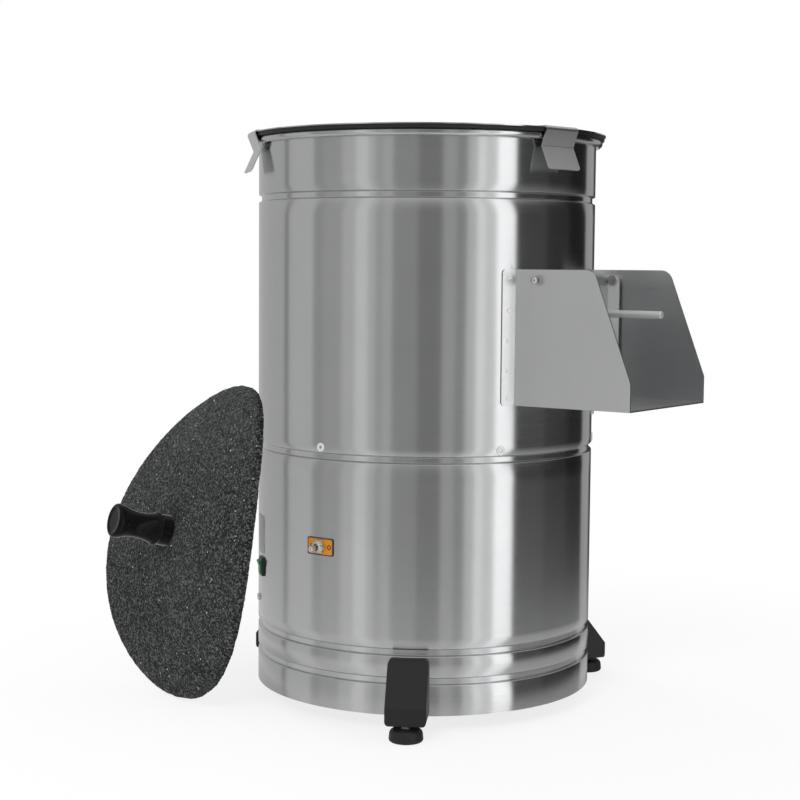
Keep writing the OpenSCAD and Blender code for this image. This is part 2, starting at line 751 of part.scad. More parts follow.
// Outline of a door arm, along X and up Z
function arm_points() =
    let (a = door_back - arm_back, b = a + arm_w)
    concat([[a, door_z]], corner([a, door_z], [b, door_z], [b, arm_top], arm_corner_r / 2),
        corner([b, door_z], [b, arm_top], [a, arm_top], arm_corner_r), [[a, arm_top]]);

module door() color("gainsboro") difference() {
    union() {
        translate([door_back, -door_half + sheet / 2, door_z])
            cube([sheet, 2 * door_half - sheet, door_top - door_z]);
        for (side = [-1, 1]) translate([0, side * (door_half - sheet / 2) + sheet / 2, 0])
            rotate([90, 0, 0]) linear_extrude(sheet) polygon(arm_points());
    }
    at_pivot_line() cylinder(d = pivot_d + 2 * running_gap, h = chute_w, center = true);
}

module door_handle() color("silver") translate([door_back + sheet, 0, handle_z]) rotate([0, 90, 0])
    rotate_extrude() polygon(concat([[0, 0], [handle_foot_r, 0], [handle_foot_r, 1.5], [handle_d / 2, 3]],
        arc([handle_d / 2 - 1.2, handle_l - 1.2], 1.2, 0, 90, 3), [[0, handle_l]]));

// Draws its children once for each of the door's pivots, with local +Z outward through the cheek
module at_pivots() for (side = [-1, 1])
    translate([pivot_x, 0, pivot_z]) rotate([-side * 90, 0, 0]) children();

module pivot_bolts() color("gainsboro") at_pivots() {
    translate([0, 0, door_half - sheet - side_gap - pivot_head_h]) hex(pivot_af, pivot_head_h);
    translate([0, 0, door_half - sheet - side_gap - 0.01])
        cylinder(d = pivot_d, h = chute_w / 2 - door_half + sheet + side_gap + pivot_nut_h);
}

module pivot_washers() color("whitesmoke") at_pivots()
    translate([0, 0, chute_in - pivot_washer_t]) difference() {
        cylinder(d = pivot_washer_d, h = pivot_washer_t);
        translate([0, 0, -1]) cylinder(d = pivot_d, h = pivot_washer_t + 2);
    }

module pivot_nuts() color("gainsboro") at_pivots() translate([0, 0, chute_w / 2]) {
    difference() {
        hex(pivot_af, pivot_nut_h);
        translate([0, 0, -1]) cylinder(d = pivot_d, h = pivot_nut_h + 2);
    }
    translate([0, 0, pivot_nut_h]) rotate_extrude()
        polygon(concat([[0, 0]], arc([0, pivot_cap_h - pivot_af * 0.42], pivot_af * 0.42, 0, 90, 6)));
}

// ---- Lid -------------------------------------------------------------------------------------

module lid() color("gainsboro") rotate_extrude($fn = 128) polygon([
    [0, lid_z + lid_panel_h], [lid_panel_d / 2, lid_z + lid_panel_h], [lid_panel_d / 2 + lid_panel_h, lid_z],
    [spigot_r - lid_t, lid_z], [spigot_r - lid_t, lid_z - lid_spigot_h], [spigot_r, lid_z - lid_spigot_h],
    [spigot_r, lid_z], [lid_r, lid_z], [lid_r, lid_top],
    [lid_panel_d / 2 + lid_panel_h + lid_t * 0.4, lid_top],
    [lid_panel_d / 2 + lid_t * 0.4, lid_top + lid_panel_h], [0, lid_top + lid_panel_h]]);

module lid_gasket() color([0.08, 0.08, 0.08])
    ring(spigot_r, lid_r - 1.5, rim_z, gasket_t);

module lid_clips() color("silver") for (k = [0:2]) at_bearing(clip_bearing + 120 * k)
    intersection() {
        translate([0, clip_w / 2, 0]) rotate([90, 0, 0]) linear_extrude(clip_w)
            polygon(strip([[clip_inner, lid_top], clip_top, clip_nose, clip_tip], clip_t));
        translate([0, 0, (clip_tip.y + lid_top) / 2]) rotate([0, 90, 0]) linear_extrude(2 * R)
            round_rect(lid_top - clip_tip.y + 4, clip_w, 3);
    }

// ---- Feet ------------------------------------------------------------------------------------

// Outline of a foot bracket, outward along X and up Z
function bracket_points() =
    let (knee = [bracket_reach, skirt_z + bracket_front_h],
        top = [bracket_reach - (bracket_h - bracket_front_h) * tan(bracket_slope), bracket_top])
    concat([[R - 30, skirt_z]], corner([R - 30, skirt_z], [bracket_reach, skirt_z], knee, 1.5), [knee],
        corner(knee, top, [R - 30, bracket_top], bracket_corner), [[R - 30, bracket_top]]);

module foot_brackets() color([0.16, 0.16, 0.16]) for (a = foot_bearings) at_bearing(a)
    difference() {
        outside(R) intersection() {
            translate([0, bracket_w / 2, 0]) rotate([90, 0, 0]) linear_extrude(bracket_w)
                polygon(bracket_points());
            translate([R / 2 + bracket_reach / 2, 0, 0]) linear_extrude(bracket_top + 1)
                round_rect(bracket_reach, bracket_w, bracket_corner);
            translate([0, 0, skirt_z + bracket_h / 2]) rotate([0, 90, 0]) linear_extrude(bracket_reach + 10)
                round_rect(bracket_h, bracket_w, bracket_corner);
        }
        translate([foot_r, 0, skirt_z - 1])
            cylinder(d = stud_d + 2 * running_gap, h = stud_top - skirt_z + 2);
        for (rise = bracket_bolt_rises) translate([R - 20, 0, skirt_z + rise]) rotate([0, 90, 0])
            cylinder(d = bracket_bolt_d, h = 20 + bracket_bolt_bite);
    }

module bracket_bolts() color("gainsboro") for (a = foot_bearings, rise = bracket_bolt_rises) {
    inside(R_in) outward(a, skirt_z + rise, R_in - 6) hex(bracket_bolt_d + 5, 8);
    outside(R_in - 0.5) outward(a, skirt_z + rise, R_in - 2)
        cylinder(d = bracket_bolt_d, h = bracket_bolt_bite + sheet + 2);
}

module foot_pad(k) color([0.12, 0.12, 0.12]) at_bearing(foot_bearings[k - 1]) translate([foot_r, 0, 0])
    difference() {
        rotate_extrude() polygon(concat([[0, 0], [pad_d / 2 - 1.5, 0]],
            arc([pad_d / 2 - 3, 3.5], 3, -50, 20, 5),
            arc([pad_d / 2 - 8, pad_h - 5.5], 5.5, 25, 90, 5), [[0, pad_h]]));
        translate([0, 0, pad_h - stud_sink]) cylinder(d = stud_d, h = stud_sink + 1);
    }

module foot_stud(k) color("gainsboro") at_bearing(foot_bearings[k - 1])
    translate([foot_r, 0, pad_h - stud_sink]) {
        cylinder(d = stud_d, h = stud_sink + stud_l - 1);
        translate([0, 0, stud_sink + stud_l - 1]) cylinder(d1 = stud_d, d2 = stud_d - 2, h = 1);
    }

module foot_pad_1() foot_pad(1);
module foot_pad_2() foot_pad(2);
module foot_pad_3() foot_pad(3);
module foot_stud_1() foot_stud(1);
module foot_stud_2() foot_stud(2);
module foot_stud_3() foot_stud(3);

// ---- Spindle and its bearings ----------------------------------------------------------------

module bearing_housing() color([0.45, 0.47, 0.5]) difference() {
    rotate_extrude() polygon([[0, housing_z], [housing_d / 2, housing_z],
        [housing_d / 2, housing_top - housing_flange_t],
        [housing_flange_d / 2, housing_top - housing_flange_t], [housing_flange_d / 2, housing_top],
        [neck_d / 2, housing_top], [neck_d / 2, neck_top], [0, neck_top]]);
    translate([0, 0, housing_z - 1]) cylinder(r = collar_r + 1.5, h = neck_top);
    for (z = [lower_bearing_z, upper_bearing_z]) translate([0, 0, z - bearing_w / 2])
        cylinder(d = bearing_od, h = bearing_w);
    translate([0, 0, neck_top - shaft_seal_h]) cylinder(d = shaft_seal_d, h = shaft_seal_h + 1);
    posts(housing_bolt_places, housing_top - housing_flange_t - 1, housing_bolt_d, housing_flange_t + 2);
}

module spindle_bearings() color("silver") for (z = [lower_bearing_z, upper_bearing_z])
    ring(spindle_r + running_gap, bearing_od / 2, z - bearing_w / 2, bearing_w);

module shaft_seal() color([0.15, 0.12, 0.1])
    ring(spindle_r + running_gap, shaft_seal_d / 2, neck_top - shaft_seal_h, shaft_seal_h);

module housing_bolts() color("gainsboro") for (p = housing_bolt_places) translate([p.x, p.y, 0]) {
    translate([0, 0, floor_top]) rotate_extrude() polygon(concat([[0, 0], [housing_bolt_head_d / 2, 0]],
        arc([housing_bolt_head_d / 2 - 2.5, housing_bolt_head_h - 2.5], 2.5, 0, 90, 4),
        [[0, housing_bolt_head_h]]));
    translate([0, 0, housing_top - housing_flange_t - housing_nut_h - 2])
        cylinder(d = housing_bolt_d, h = housing_flange_t + floor_t + housing_nut_h + 2.01);
    translate([0, 0, housing_top - housing_flange_t - housing_nut_h]) hex(housing_bolt_d + 5, housing_nut_h);
}

module spindle() color("gainsboro") difference() {
    rotate_extrude() polygon([[0, spindle_z - 2], [spindle_thread_r - 1, spindle_z - 2],
        [spindle_thread_r, pulley_z], [spindle_r, pulley_z],
        [spindle_r, collar_z], [collar_r, collar_z], [collar_r, neck_top - shaft_seal_h - 2],
        [spindle_r, neck_top - shaft_seal_h - 2], [spindle_r, nose_z - nose_groove],
        [spindle_r - 1, nose_z - nose_groove], [spindle_r - 1, nose_z], [spindle_r, nose_z],
        [spindle_r, spindle_top - 2], [spindle_r - 2, spindle_top], [0, spindle_top]]);
    drive_pin();
}

module drive_pin() color("silver") translate([0, 0, drive_pin_z]) rotate([90, 0, 0])
    cylinder(d = drive_pin_d, h = drive_pin_l, center = true);

// Outline of a pulley with one V groove, from its bore outwards
function pulley_points(bore_r, hub_r, hub_z, hub_top, pitch_r) =
    let (out = pitch_r + belt_h / 2, bottom = pitch_r - belt_h / 2 - 2,
        mouth = belt_w / 2 + belt_gap / cos(belt_half_angle),
        root = mouth - (out - bottom) * tan(belt_half_angle))
    [[bore_r, hub_z], [hub_r, hub_z], [hub_r, pulley_z], [out, pulley_z],
        [out, belt_z - mouth], [bottom, belt_z - root], [bottom, belt_z + root], [out, belt_z + mouth],
        [out, pulley_z + pulley_w], [hub_r, pulley_z + pulley_w], [hub_r, hub_top], [bore_r, hub_top]];

module spindle_pulley() color([0.4, 0.42, 0.45]) difference() {
    rotate_extrude($fn = 128) polygon(pulley_points(spindle_r, spindle_r + 12, pulley_z, pulley_hub_top,
        spindle_pitch_d / 2));
    for (a = [0:72:288]) rotate([0, 0, a]) translate([spindle_pitch_d * 0.26, 0, pulley_z - 1])
        cylinder(d = spindle_pitch_d * 0.13, h = pulley_w + 2);
}

module spindle_nut() color("gainsboro") translate([0, 0, spindle_z]) difference() {
    hex(spindle_d + 8, spindle_nut_h);
    translate([0, 0, -2])
        cylinder(r1 = spindle_thread_r - 1, r2 = spindle_thread_r, h = spindle_nut_h + 2.001);
}

// Corners of the belt's V section, as [distance outward from the pitch line, height]
function belt_section() =
    let (top = belt_w / 2, low = top - belt_h * tan(belt_half_angle))
    [[-belt_h / 2, belt_z - low], [belt_h / 2, belt_z - top],
        [belt_h / 2, belt_z + top], [-belt_h / 2, belt_z + low]];

// The belt's way round the two pulleys, as [pulley centre, pitch radius, bearing from +X]
function belt_stations() =
    let (big = spindle_pitch_d / 2, small = motor_pitch_d / 2, wrap = asin((big - small) / motor_offset))
    concat([for (i = [0:belt_steps]) [[0, 0], big, 180 - wrap + (180 + 2 * wrap) * i / belt_steps]],
        [for (i = [0:belt_steps]) [[0, motor_offset], small, wrap + (180 - 2 * wrap) * i / belt_steps]]);

module v_belt() color([0.13, 0.13, 0.13]) {
    stations = belt_stations();
    n = len(stations);
    polyhedron(
        points = [for (s = stations, c = belt_section())
            [s[0].x + (s[1] + c[0]) * cos(s[2]), s[0].y + (s[1] + c[0]) * sin(s[2]), c[1]]],
        faces = [for (i = [0:n - 1], j = [0:3]) let (k = (i + 1) % n, l = (j + 1) % 4)
            each [[4 * i + j, 4 * i + l, 4 * k + l], [4 * i + j, 4 * k + l, 4 * k + j]]]);
}

// ---- Motor -----------------------------------------------------------------------------------

module motor_plate() color([0.5, 0.52, 0.55]) difference() {
    translate([0, (hanger_ys[0] + hanger_ys[1]) / 2, motor_plate_z]) linear_extrude(motor_plate_t)
        round_rect(2 * hanger_x + 2 * plate_margin, hanger_ys[1] - hanger_ys[0] + 2 * plate_margin, 8);
    translate([0, motor_offset, motor_plate_z - 1]) cylinder(r = shaft_r + 9, h = motor_plate_t + 2);
    posts(hanger_places, motor_plate_z - 1, hanger_bolt_d, motor_plate_t + 2);
    posts(motor_bolt_places, motor_plate_z - 1, motor_bolt_d, motor_plate_t + 2);
}

module plate_hangers() color("gainsboro") for (p = hanger_places) translate([p.x, p.y, 0]) {
    translate([0, 0, motor_plate_top]) cylinder(d = hanger_d, h = floor_z - motor_plate_top);
    translate([0, 0, motor_plate_z - 7]) cylinder(d = hanger_bolt_d, h = floor_top + 7 - motor_plate_z);
    translate([0, 0, motor_plate_z - 6]) hex(hanger_bolt_d + 5, 6);
    translate([0, 0, floor_top]) rotate_extrude() polygon([[0, 0], [6.5, 0], [6.5, 1.5], [3.5, 4], [0, 4]]);
}

module motor_frame() color([0.35, 0.37, 0.4]) translate([0, motor_offset, frame_z]) linear_extrude(motor_l)
    difference() {
        union() {
            circle(motor_r - rib_h);
            for (a = [0:15:345]) rotate(a)
                translate([motor_r - rib_h - 1, -rib_w / 2]) square([rib_h + 1, rib_w]);
        }
        circle(motor_r - rib_h - motor_wall);
    }

module motor_top_cover() color([0.35, 0.37, 0.4]) translate([0, motor_offset, frame_top]) difference() {
    rotate_extrude() polygon([[0, 0], [motor_r, 0], [motor_r, motor_cover_h - cover_bevel],
        [motor_r - cover_bevel, motor_cover_h], [0, motor_cover_h]]);
    translate([0, 0, -1]) cylinder(r = motor_r - cover_wall, h = motor_cover_h - cover_bevel);
    translate([0, 0, -1]) cylinder(r = shaft_r + running_gap, h = motor_cover_h + 2);
    translate([0, -motor_offset, 0])
        posts(motor_bolt_places, motor_cover_h - motor_bolt_bite, motor_bolt_d, motor_bolt_bite + 1);
}

module motor_bottom_cover() color([0.35, 0.37, 0.4]) translate([0, motor_offset, motor_z]) difference() {
    rotate_extrude() polygon([[0, 0], [motor_r - cover_bevel, 0], [motor_r, cover_bevel],
        [motor_r, motor_cover_h], [0, motor_cover_h]]);
    translate([0, 0, cover_bevel + 1]) cylinder(r = motor_r - cover_wall, h = motor_cover_h);
    translate([0, 0, -1]) cylinder(r = shaft_r + running_gap, h = motor_cover_h);
}

module motor_bolts() color("gainsboro") for (p = motor_bolt_places) translate([p.x, p.y, 0]) {
    translate([0, 0, motor_plate_top]) hex(motor_bolt_af, motor_bolt_head_h);
    translate([0, 0, motor_plate_z - motor_bolt_bite])
        cylinder(d = motor_bolt_d, h = motor_plate_t + motor_bolt_bite + 0.01);
}

module stator() color([0.6, 0.4, 0.2]) translate([0, motor_offset, 0])
    ring(rotor_d / 2 + rotor_gap, motor_r - rib_h - motor_wall, frame_z + stack_inset, motor_l - 2 * stack_inset);

module rotor() color([0.55, 0.55, 0.58]) translate([0, motor_offset, 0])
    ring(shaft_r, rotor_d / 2, frame_z + stack_inset, motor_l - 2 * stack_inset);

module motor_shaft() color("silver") translate([0, motor_offset, motor_z - 6]) {
    cylinder(r = shaft_r, h = motor_pulley_top - motor_z + 7);
    translate([0, 0, motor_pulley_top - motor_z + 7]) cylinder(r1 = shaft_r, r2 = shaft_r - 1, h = 1);
}

module motor_pulley() color([0.4, 0.42, 0.45]) translate([0, motor_offset, 0])
    rotate_extrude() polygon(pulley_points(shaft_r, motor_pitch_d / 2 - 7, pulley_z - 5, motor_pulley_top,
        motor_pitch_d / 2));

module capacitor() color("whitesmoke") at_bearing(capacitor_bearing)
    translate([capacitor_r, 0, capacitor_top - capacitor_h]) rotate_extrude()
        polygon([[0, 0], [capacitor_d / 2 - 2, 0], [capacitor_d / 2, 2], [capacitor_d / 2, capacitor_h - 2],
            [capacitor_d / 2 - 2, capacitor_h], [0, capacitor_h]]);

module capacitor_clamp() color("silver") difference() {
    union() {
        at_bearing(capacitor_bearing) translate([capacitor_r, 0, capacitor_screw_z - clamp_h / 2])
            cylinder(d = capacitor_d + 3, h = clamp_h);
        inside(R_in) at_bearing(capacitor_bearing)
            translate([R_in - clamp_block, -clamp_w / 2, capacitor_screw_z - clamp_h / 2])
                cube([clamp_block + 1, clamp_w, clamp_h]);
    }
    at_bearing(capacitor_bearing) translate([capacitor_r, 0, capacitor_screw_z - clamp_h])
        cylinder(d = capacitor_d, h = 2 * clamp_h);
    outward(capacitor_bearing, capacitor_screw_z, R - screw_l) cylinder(d = screw_d, h = screw_l);
}

// ---- Switches and services -------------------------------------------------------------------

module selector_plate() color("darkorange") difference() {
    skin_plate(selector_bearing, selector_z, plate_w, plate_h, 1.5, plate_t);
    outward(selector_bearing, selector_z, R - 10) cylinder(d = bush_d, h = 20);
}

module selector_body() color([0.15, 0.15, 0.3]) difference() {
    union() {
        inside(R_in) outward(selector_bearing, selector_z, R_in - selector_depth)
            translate([0, 0, selector_depth / 2 + 2]) cube([16, 28, selector_depth + 4], center = true);
        outward(selector_bearing, selector_z, R_in - 4) cylinder(d = bush_d, h = bush_l + sheet + 4);
    }
    outward(selector_bearing, selector_z, lever_pivot - 8) cylinder(d = bush_bore + 2 * running_gap, h = 20);
}

module selector_nut() color("silver") difference() {
    outward(selector_bearing, selector_z, R + plate_t) hex(bush_nut_af, bush_nut_h);
    outward(selector_bearing, selector_z, R - 10) cylinder(d = bush_d, h = 20);
}

module selector_lever() color("silver") outward(selector_bearing, selector_z, lever_pivot)
    rotate([-lever_lean, 0, 0]) {
        sphere(d = bush_bore);
        cylinder(r1 = 1.9, r2 = 2.3, h = lever_l - 2.5);
        translate([0, 0, lever_l - 3]) sphere(r = 3);
    }

module power_switch() color([0.1, 0.1, 0.1]) difference() {
    union() {
        outside(R) outward(power_bearing, power_z, R - 2) translate([0, 0, (bezel_t + 2) / 2])
            cube([bezel_h, bezel_w, bezel_t + 2], center = true);
        outward(power_bearing, power_z, R - power_depth) translate([0, 0, power_depth / 2])
            cube([2 * rocker_r + 2, bezel_w - 2, power_depth], center = true);
    }
    outward(power_bearing, power_z, rocker_pivot) rotate([90, 0, 0])
        cylinder(r = rocker_r + side_gap, h = rocker_w + 2 * side_gap, center = true);
    outward(power_bearing, power_z, rocker_pivot) translate([0, 0, 10])
        cube([2 * (rocker_r + side_gap), rocker_w + 2 * side_gap, 20], center = true);
}

// The rocker: a slice of a cylinder about its pivot, with a shallow V pressed into its face
module power_rocker() color([0.1, 0.6, 0.35]) outward(power_bearing, power_z, rocker_pivot)
    rotate([0, rocker_tilt, 0]) difference() {
        rotate([90, 0, 0]) cylinder(r = rocker_r, h = rocker_w, center = true);
        for (side = [-1, 1]) translate([0, 0, 4.2]) rotate([0, side * rocker_tilt, 0])
            translate([-side * 10, 0, 10]) cube([20, 20, 20], center = true);
        translate([0, 0, -14]) cube([30, 20, 20], center = true);
    }

module data_plate() color("whitesmoke") skin_plate(label_bearing, label_z, label_w, label_h, 1.5, 0.4);

module cable_gland() color([0.12, 0.12, 0.12]) difference() {
    union() {
        outside(R) outward(gland_bearing, gland_z, R - 1) hex(gland_d + 4, gland_flange_h + 1);
        outward(gland_bearing, gland_z, R_in - 9) cylinder(d = gland_d, h = sheet + 10);
        outward(gland_bearing, gland_z, R + gland_flange_h) rotate_extrude()
            polygon(concat([[0, 0], [gland_d / 2 + 2, 0], [gland_d / 2 + 2, 5]],
                arc([gland_d / 2 - 2, 11], 4, 0, 90, 4), [[0, 15]]));
        inside(R_in) outward(gland_bearing, gland_z, R_in - 5) hex(gland_d + 5, 8);
    }
    outward(gland_bearing, gland_z, R - 40) cylinder(d = gland_bore, h = 80);
}

// ---- Abrasive disc ---------------------------------------------------------------------------

// Height of the disc's face over its rim's plane, at a point of that plane
function face_h(p) = disc_dome * (1 - pow(norm(p) / disc_r, 2)) + 2 * disc_wave * p.x * p.y / pow(disc_r, 2);

// Leans its children, drawn flat about the disc's middle, on the casing
module leaned() at_bearing(disc_bearing) translate([disc_stand, 0, disc_z])
    rotate([0, 0, 90 - disc_bearing + disc_facing]) rotate([90 - disc_lean, 0, 0])
        rotate([0, 0, disc_roll]) children();

module abrasive_disc() color([0.26, 0.26, 0.26]) leaned() {
    n = disc_sides;
    m = disc_rings + 1;
    top = [for (i = [0:disc_rings], j = [0:n - 1])
        let (r = disc_hole_r + (disc_r - disc_hole_r) * i / disc_rings,
            p = r * [cos(360 * j / n), sin(360 * j / n)])
        [p.x, p.y, face_h(p)]];
    low = [for (q = top) q - [0, 0, disc_t]];
    // quadrilaterals of the upper face, of the lower face, of the hole's wall and of the rim
    quads = concat(
        [for (i = [0:disc_rings - 1], j = [0:n - 1]) let (k = (j + 1) % n)
            [i * n + j, i * n + k, (i + 1) * n + k, (i + 1) * n + j]],
        [for (i = [0:disc_rings - 1], j = [0:n - 1]) let (k = (j + 1) % n)
            m * n * [1, 1, 1, 1] + [i * n + j, (i + 1) * n + j, (i + 1) * n + k, i * n + k]],
        [for (j = [0:n - 1]) let (k = (j + 1) % n) [j, j + m * n, k + m * n, k]],
        [for (j = [0:n - 1]) let (k = (j + 1) % n, a = disc_rings * n)
            [a + j, a + k, a + k + m * n, a + j + m * n]]);
    polyhedron(points = concat(top, low),
        faces = [for (q = quads) each [[q[0], q[1], q[2]], [q[0], q[2], q[3]]]]);
}

// Hub behind the disc: it drops over the spindle and its drive pin, and its stud holds the knob
module disc_hub() color("silver") leaned() difference() {
    union() {
        translate([0, 0, hub_top - hub_l]) cylinder(d = hub_d, h = hub_l);
        translate([0, 0, hub_top - 0.01]) cylinder(r = disc_hole_r - 0.3, h = disc_dome - hub_top + 0.01);
        translate([0, 0, disc_dome - 0.01]) cylinder(d = knob_stud_d, h = knob_l / 2);
    }
    translate([0, 0, hub_top - hub_l - 1]) cylinder(r = spindle_r + running_gap, h = hub_l + 1 - 2);
    translate([0, 0, hub_top - hub_l + drive_pin_d / 2])
        cube([hub_d + 2, drive_pin_d + 4 * side_gap, drive_pin_d + 2], center = true);
}

module disc_knob() color([0.08, 0.08, 0.08]) leaned() translate([0, 0, disc_dome]) difference() {
    rotate_extrude() polygon(concat([[0, 0], [knob_d / 2 - 2, 0]],
        [for (i = [0:12]) let (t = i / 12)
            [knob_waist_d / 2 + (knob_d - knob_waist_d) / 2 * pow(abs(2 * t - 1), 2.4),
                knob_flare + t * (knob_l - 3 * knob_flare)]],
        arc([knob_d / 2 - knob_flare, knob_l - knob_flare], knob_flare, 0, 90, 4), [[0, knob_l]]));
    translate([0, 0, -1]) cylinder(d = knob_stud_d, h = knob_l / 2 + 1);
}

casing();
abrasive_liner();
chamber_floor();
floor_rivets();
casing_screws();
drain_spout();
water_inlet();
inlet_nut();
chute();
chute_rivets();
door_frame();
door_seal();
door();
door_handle();
pivot_bolts();
pivot_washers();
pivot_nuts();
bearing_housing();
spindle_bearings();
shaft_seal();
housing_bolts();
spindle();
drive_pin();
spindle_pulley();
spindle_nut();
v_belt();
motor_plate();
plate_hangers();
motor_frame();
motor_top_cover();
motor_bottom_cover();
motor_bolts();
stator();
rotor();
motor_shaft();
motor_pulley();
capacitor();
capacitor_clamp();
selector_plate();
selector_body();
selector_nut();
selector_lever();
power_switch();
power_rocker();
data_plate();
cable_gland();
foot_brackets();
bracket_bolts();
foot_pad_1();
foot_pad_2();
foot_pad_3();
foot_stud_1();
foot_stud_2();
foot_stud_3();
lid();
lid_gasket();
lid_clips();
abrasive_disc();
disc_hub();
disc_knob();
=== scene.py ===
import json
import math

import bmesh
import bpy
import numpy as np
from mathutils import Matrix, Vector


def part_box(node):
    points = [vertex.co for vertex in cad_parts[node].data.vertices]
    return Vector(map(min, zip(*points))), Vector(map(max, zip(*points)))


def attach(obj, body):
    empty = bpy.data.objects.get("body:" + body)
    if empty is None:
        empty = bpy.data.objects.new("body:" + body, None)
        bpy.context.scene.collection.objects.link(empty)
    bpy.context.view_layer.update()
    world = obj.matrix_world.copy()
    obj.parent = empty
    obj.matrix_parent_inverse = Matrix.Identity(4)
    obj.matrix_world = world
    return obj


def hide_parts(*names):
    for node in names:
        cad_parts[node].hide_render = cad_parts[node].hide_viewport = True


# Lengths are millimetres until a mesh is made; the stage and its lamps are in metres. A bearing turns
# about the drum's axis from -Y (0) towards +X (90), as seen from above.
mm = 0.001

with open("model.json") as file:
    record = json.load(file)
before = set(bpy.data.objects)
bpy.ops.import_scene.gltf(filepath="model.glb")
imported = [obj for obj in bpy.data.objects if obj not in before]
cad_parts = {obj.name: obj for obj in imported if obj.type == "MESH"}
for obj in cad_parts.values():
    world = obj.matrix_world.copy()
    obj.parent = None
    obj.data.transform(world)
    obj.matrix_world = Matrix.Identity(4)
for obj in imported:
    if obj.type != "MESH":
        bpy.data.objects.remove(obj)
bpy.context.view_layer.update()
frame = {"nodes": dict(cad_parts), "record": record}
nodes = frame["nodes"]
print("frame loaded:", len(nodes), "nodes")


def polar(bearing, radius, height):
    a = math.radians(bearing)
    return Vector((radius * math.sin(a), -radius * math.cos(a), height))


def outwardFrame(bearing, height, radius):
    # local X runs sideways, local Y up and local Z outward
    a = math.radians(bearing)
    side = Vector((math.cos(a), math.sin(a), 0))
    out = Vector((math.sin(a), -math.cos(a), 0))
    m = Matrix((side, Vector((0, 0, 1)), out)).transposed().to_4x4()
    m.translation = polar(bearing, radius, height)
    return m


def addPiece(name, verts, faces, body, material, slot, replaced=(), place=None, sharp=35, finish=None):
    if place is not None:
        verts = [place @ Vector(v) for v in verts]
    mesh = bpy.data.meshes.new(name)
    mesh.from_pydata([tuple(mm * c for c in v) for v in verts], [], faces)
    work = bmesh.new()
    work.from_mesh(mesh)
    if finish:
        finish(work)
    bmesh.ops.recalc_face_normals(work, faces=work.faces)
    work.to_mesh(mesh)
    work.free()
    mesh.validate()
    mesh.shade_smooth()
    mesh.set_sharp_from_angle(angle=math.radians(sharp))
    piece = bpy.data.objects.new(name, mesh)
    bpy.context.scene.collection.objects.link(piece)
    mesh.materials.append(material)
    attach(piece, body)
    if replaced:
        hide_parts(*replaced)
    return piece


def arc(cx, cy, r, start, end, steps):
    turn = [math.radians(start + (end - start) * i / steps) for i in range(steps + 1)]
    return [(cx + r * math.cos(t), cy + r * math.sin(t)) for t in turn]


def lathe(profile, segments=96, radiusAt=None):
    # turns (radius, height) points about local Z; a radius of 0 is one point on the axis
    verts, rings = [], []
    for r, z in profile:
        if r < 1e-6:
            rings.append([len(verts)])
            verts.append((0, 0, z))
            continue
        rings.append(list(range(len(verts), len(verts) + segments)))
        for j in range(segments):
            t = 2 * math.pi * j / segments
            q = radiusAt(r, z, t) if radiusAt else r
            verts.append((q * math.cos(t), q * math.sin(t), z))
    faces = []
    for a, b in zip(rings, rings[1:]):
        for j in range(segments):
            k = (j + 1) % segments
            if len(a) == 1 and len(b) == 1:
                break
            if len(a) == 1:
                faces.append((a[0], b[k], b[j]))
            elif len(b) == 1:
                faces.append((a[j], a[k], b[0]))
            else:
                faces.append((a[j], a[k], b[k], b[j]))
    return verts, faces


def prism(outline, depth):
    # a flat outline in local X and Y, raised along local Z
    n = len(outline)
    verts = [(x, y, z) for z in (0, depth) for x, y in outline]
    faces = [tuple(range(n))[::-1], tuple(range(n, 2 * n))]
    faces += [(i, (i + 1) % n, n + (i + 1) % n, n + i) for i in range(n)]
    return verts, faces


def rounded(width, height, r, steps=5):
    w, h = width / 2 - r, height / 2 - r
    return (
        arc(w, h, r, 0, 90, steps) + arc(-w, h, r, 90, 180, steps)
        + arc(-w, -h, r, 180, 270, steps) + arc(w, -h, r, 270, 360, steps)
    )


# Materials. Object coordinates are the machine's own, in metres, as every piece sits at the origin.
def makeGroup(name, inputs, outputs):
    group = bpy.data.node_groups.new(name, "ShaderNodeTree")
    for label, kind, value in inputs:
        socket = group.interface.new_socket(label, in_out="INPUT", socket_type=kind)
        socket.default_value = value
    for label, kind in outputs:
        group.interface.new_socket(label, in_out="OUTPUT", socket_type=kind)
    return group, group.nodes.new("NodeGroupInput"), group.nodes.new("NodeGroupOutput")


def addNode(tree, kind, values=None, **settings):
    node = tree.nodes.new(kind)
    for key, value in settings.items():
        setattr(node, key, value)
    for key, value in (values or {}).items():
        node.inputs[key].default_value = value
    return node


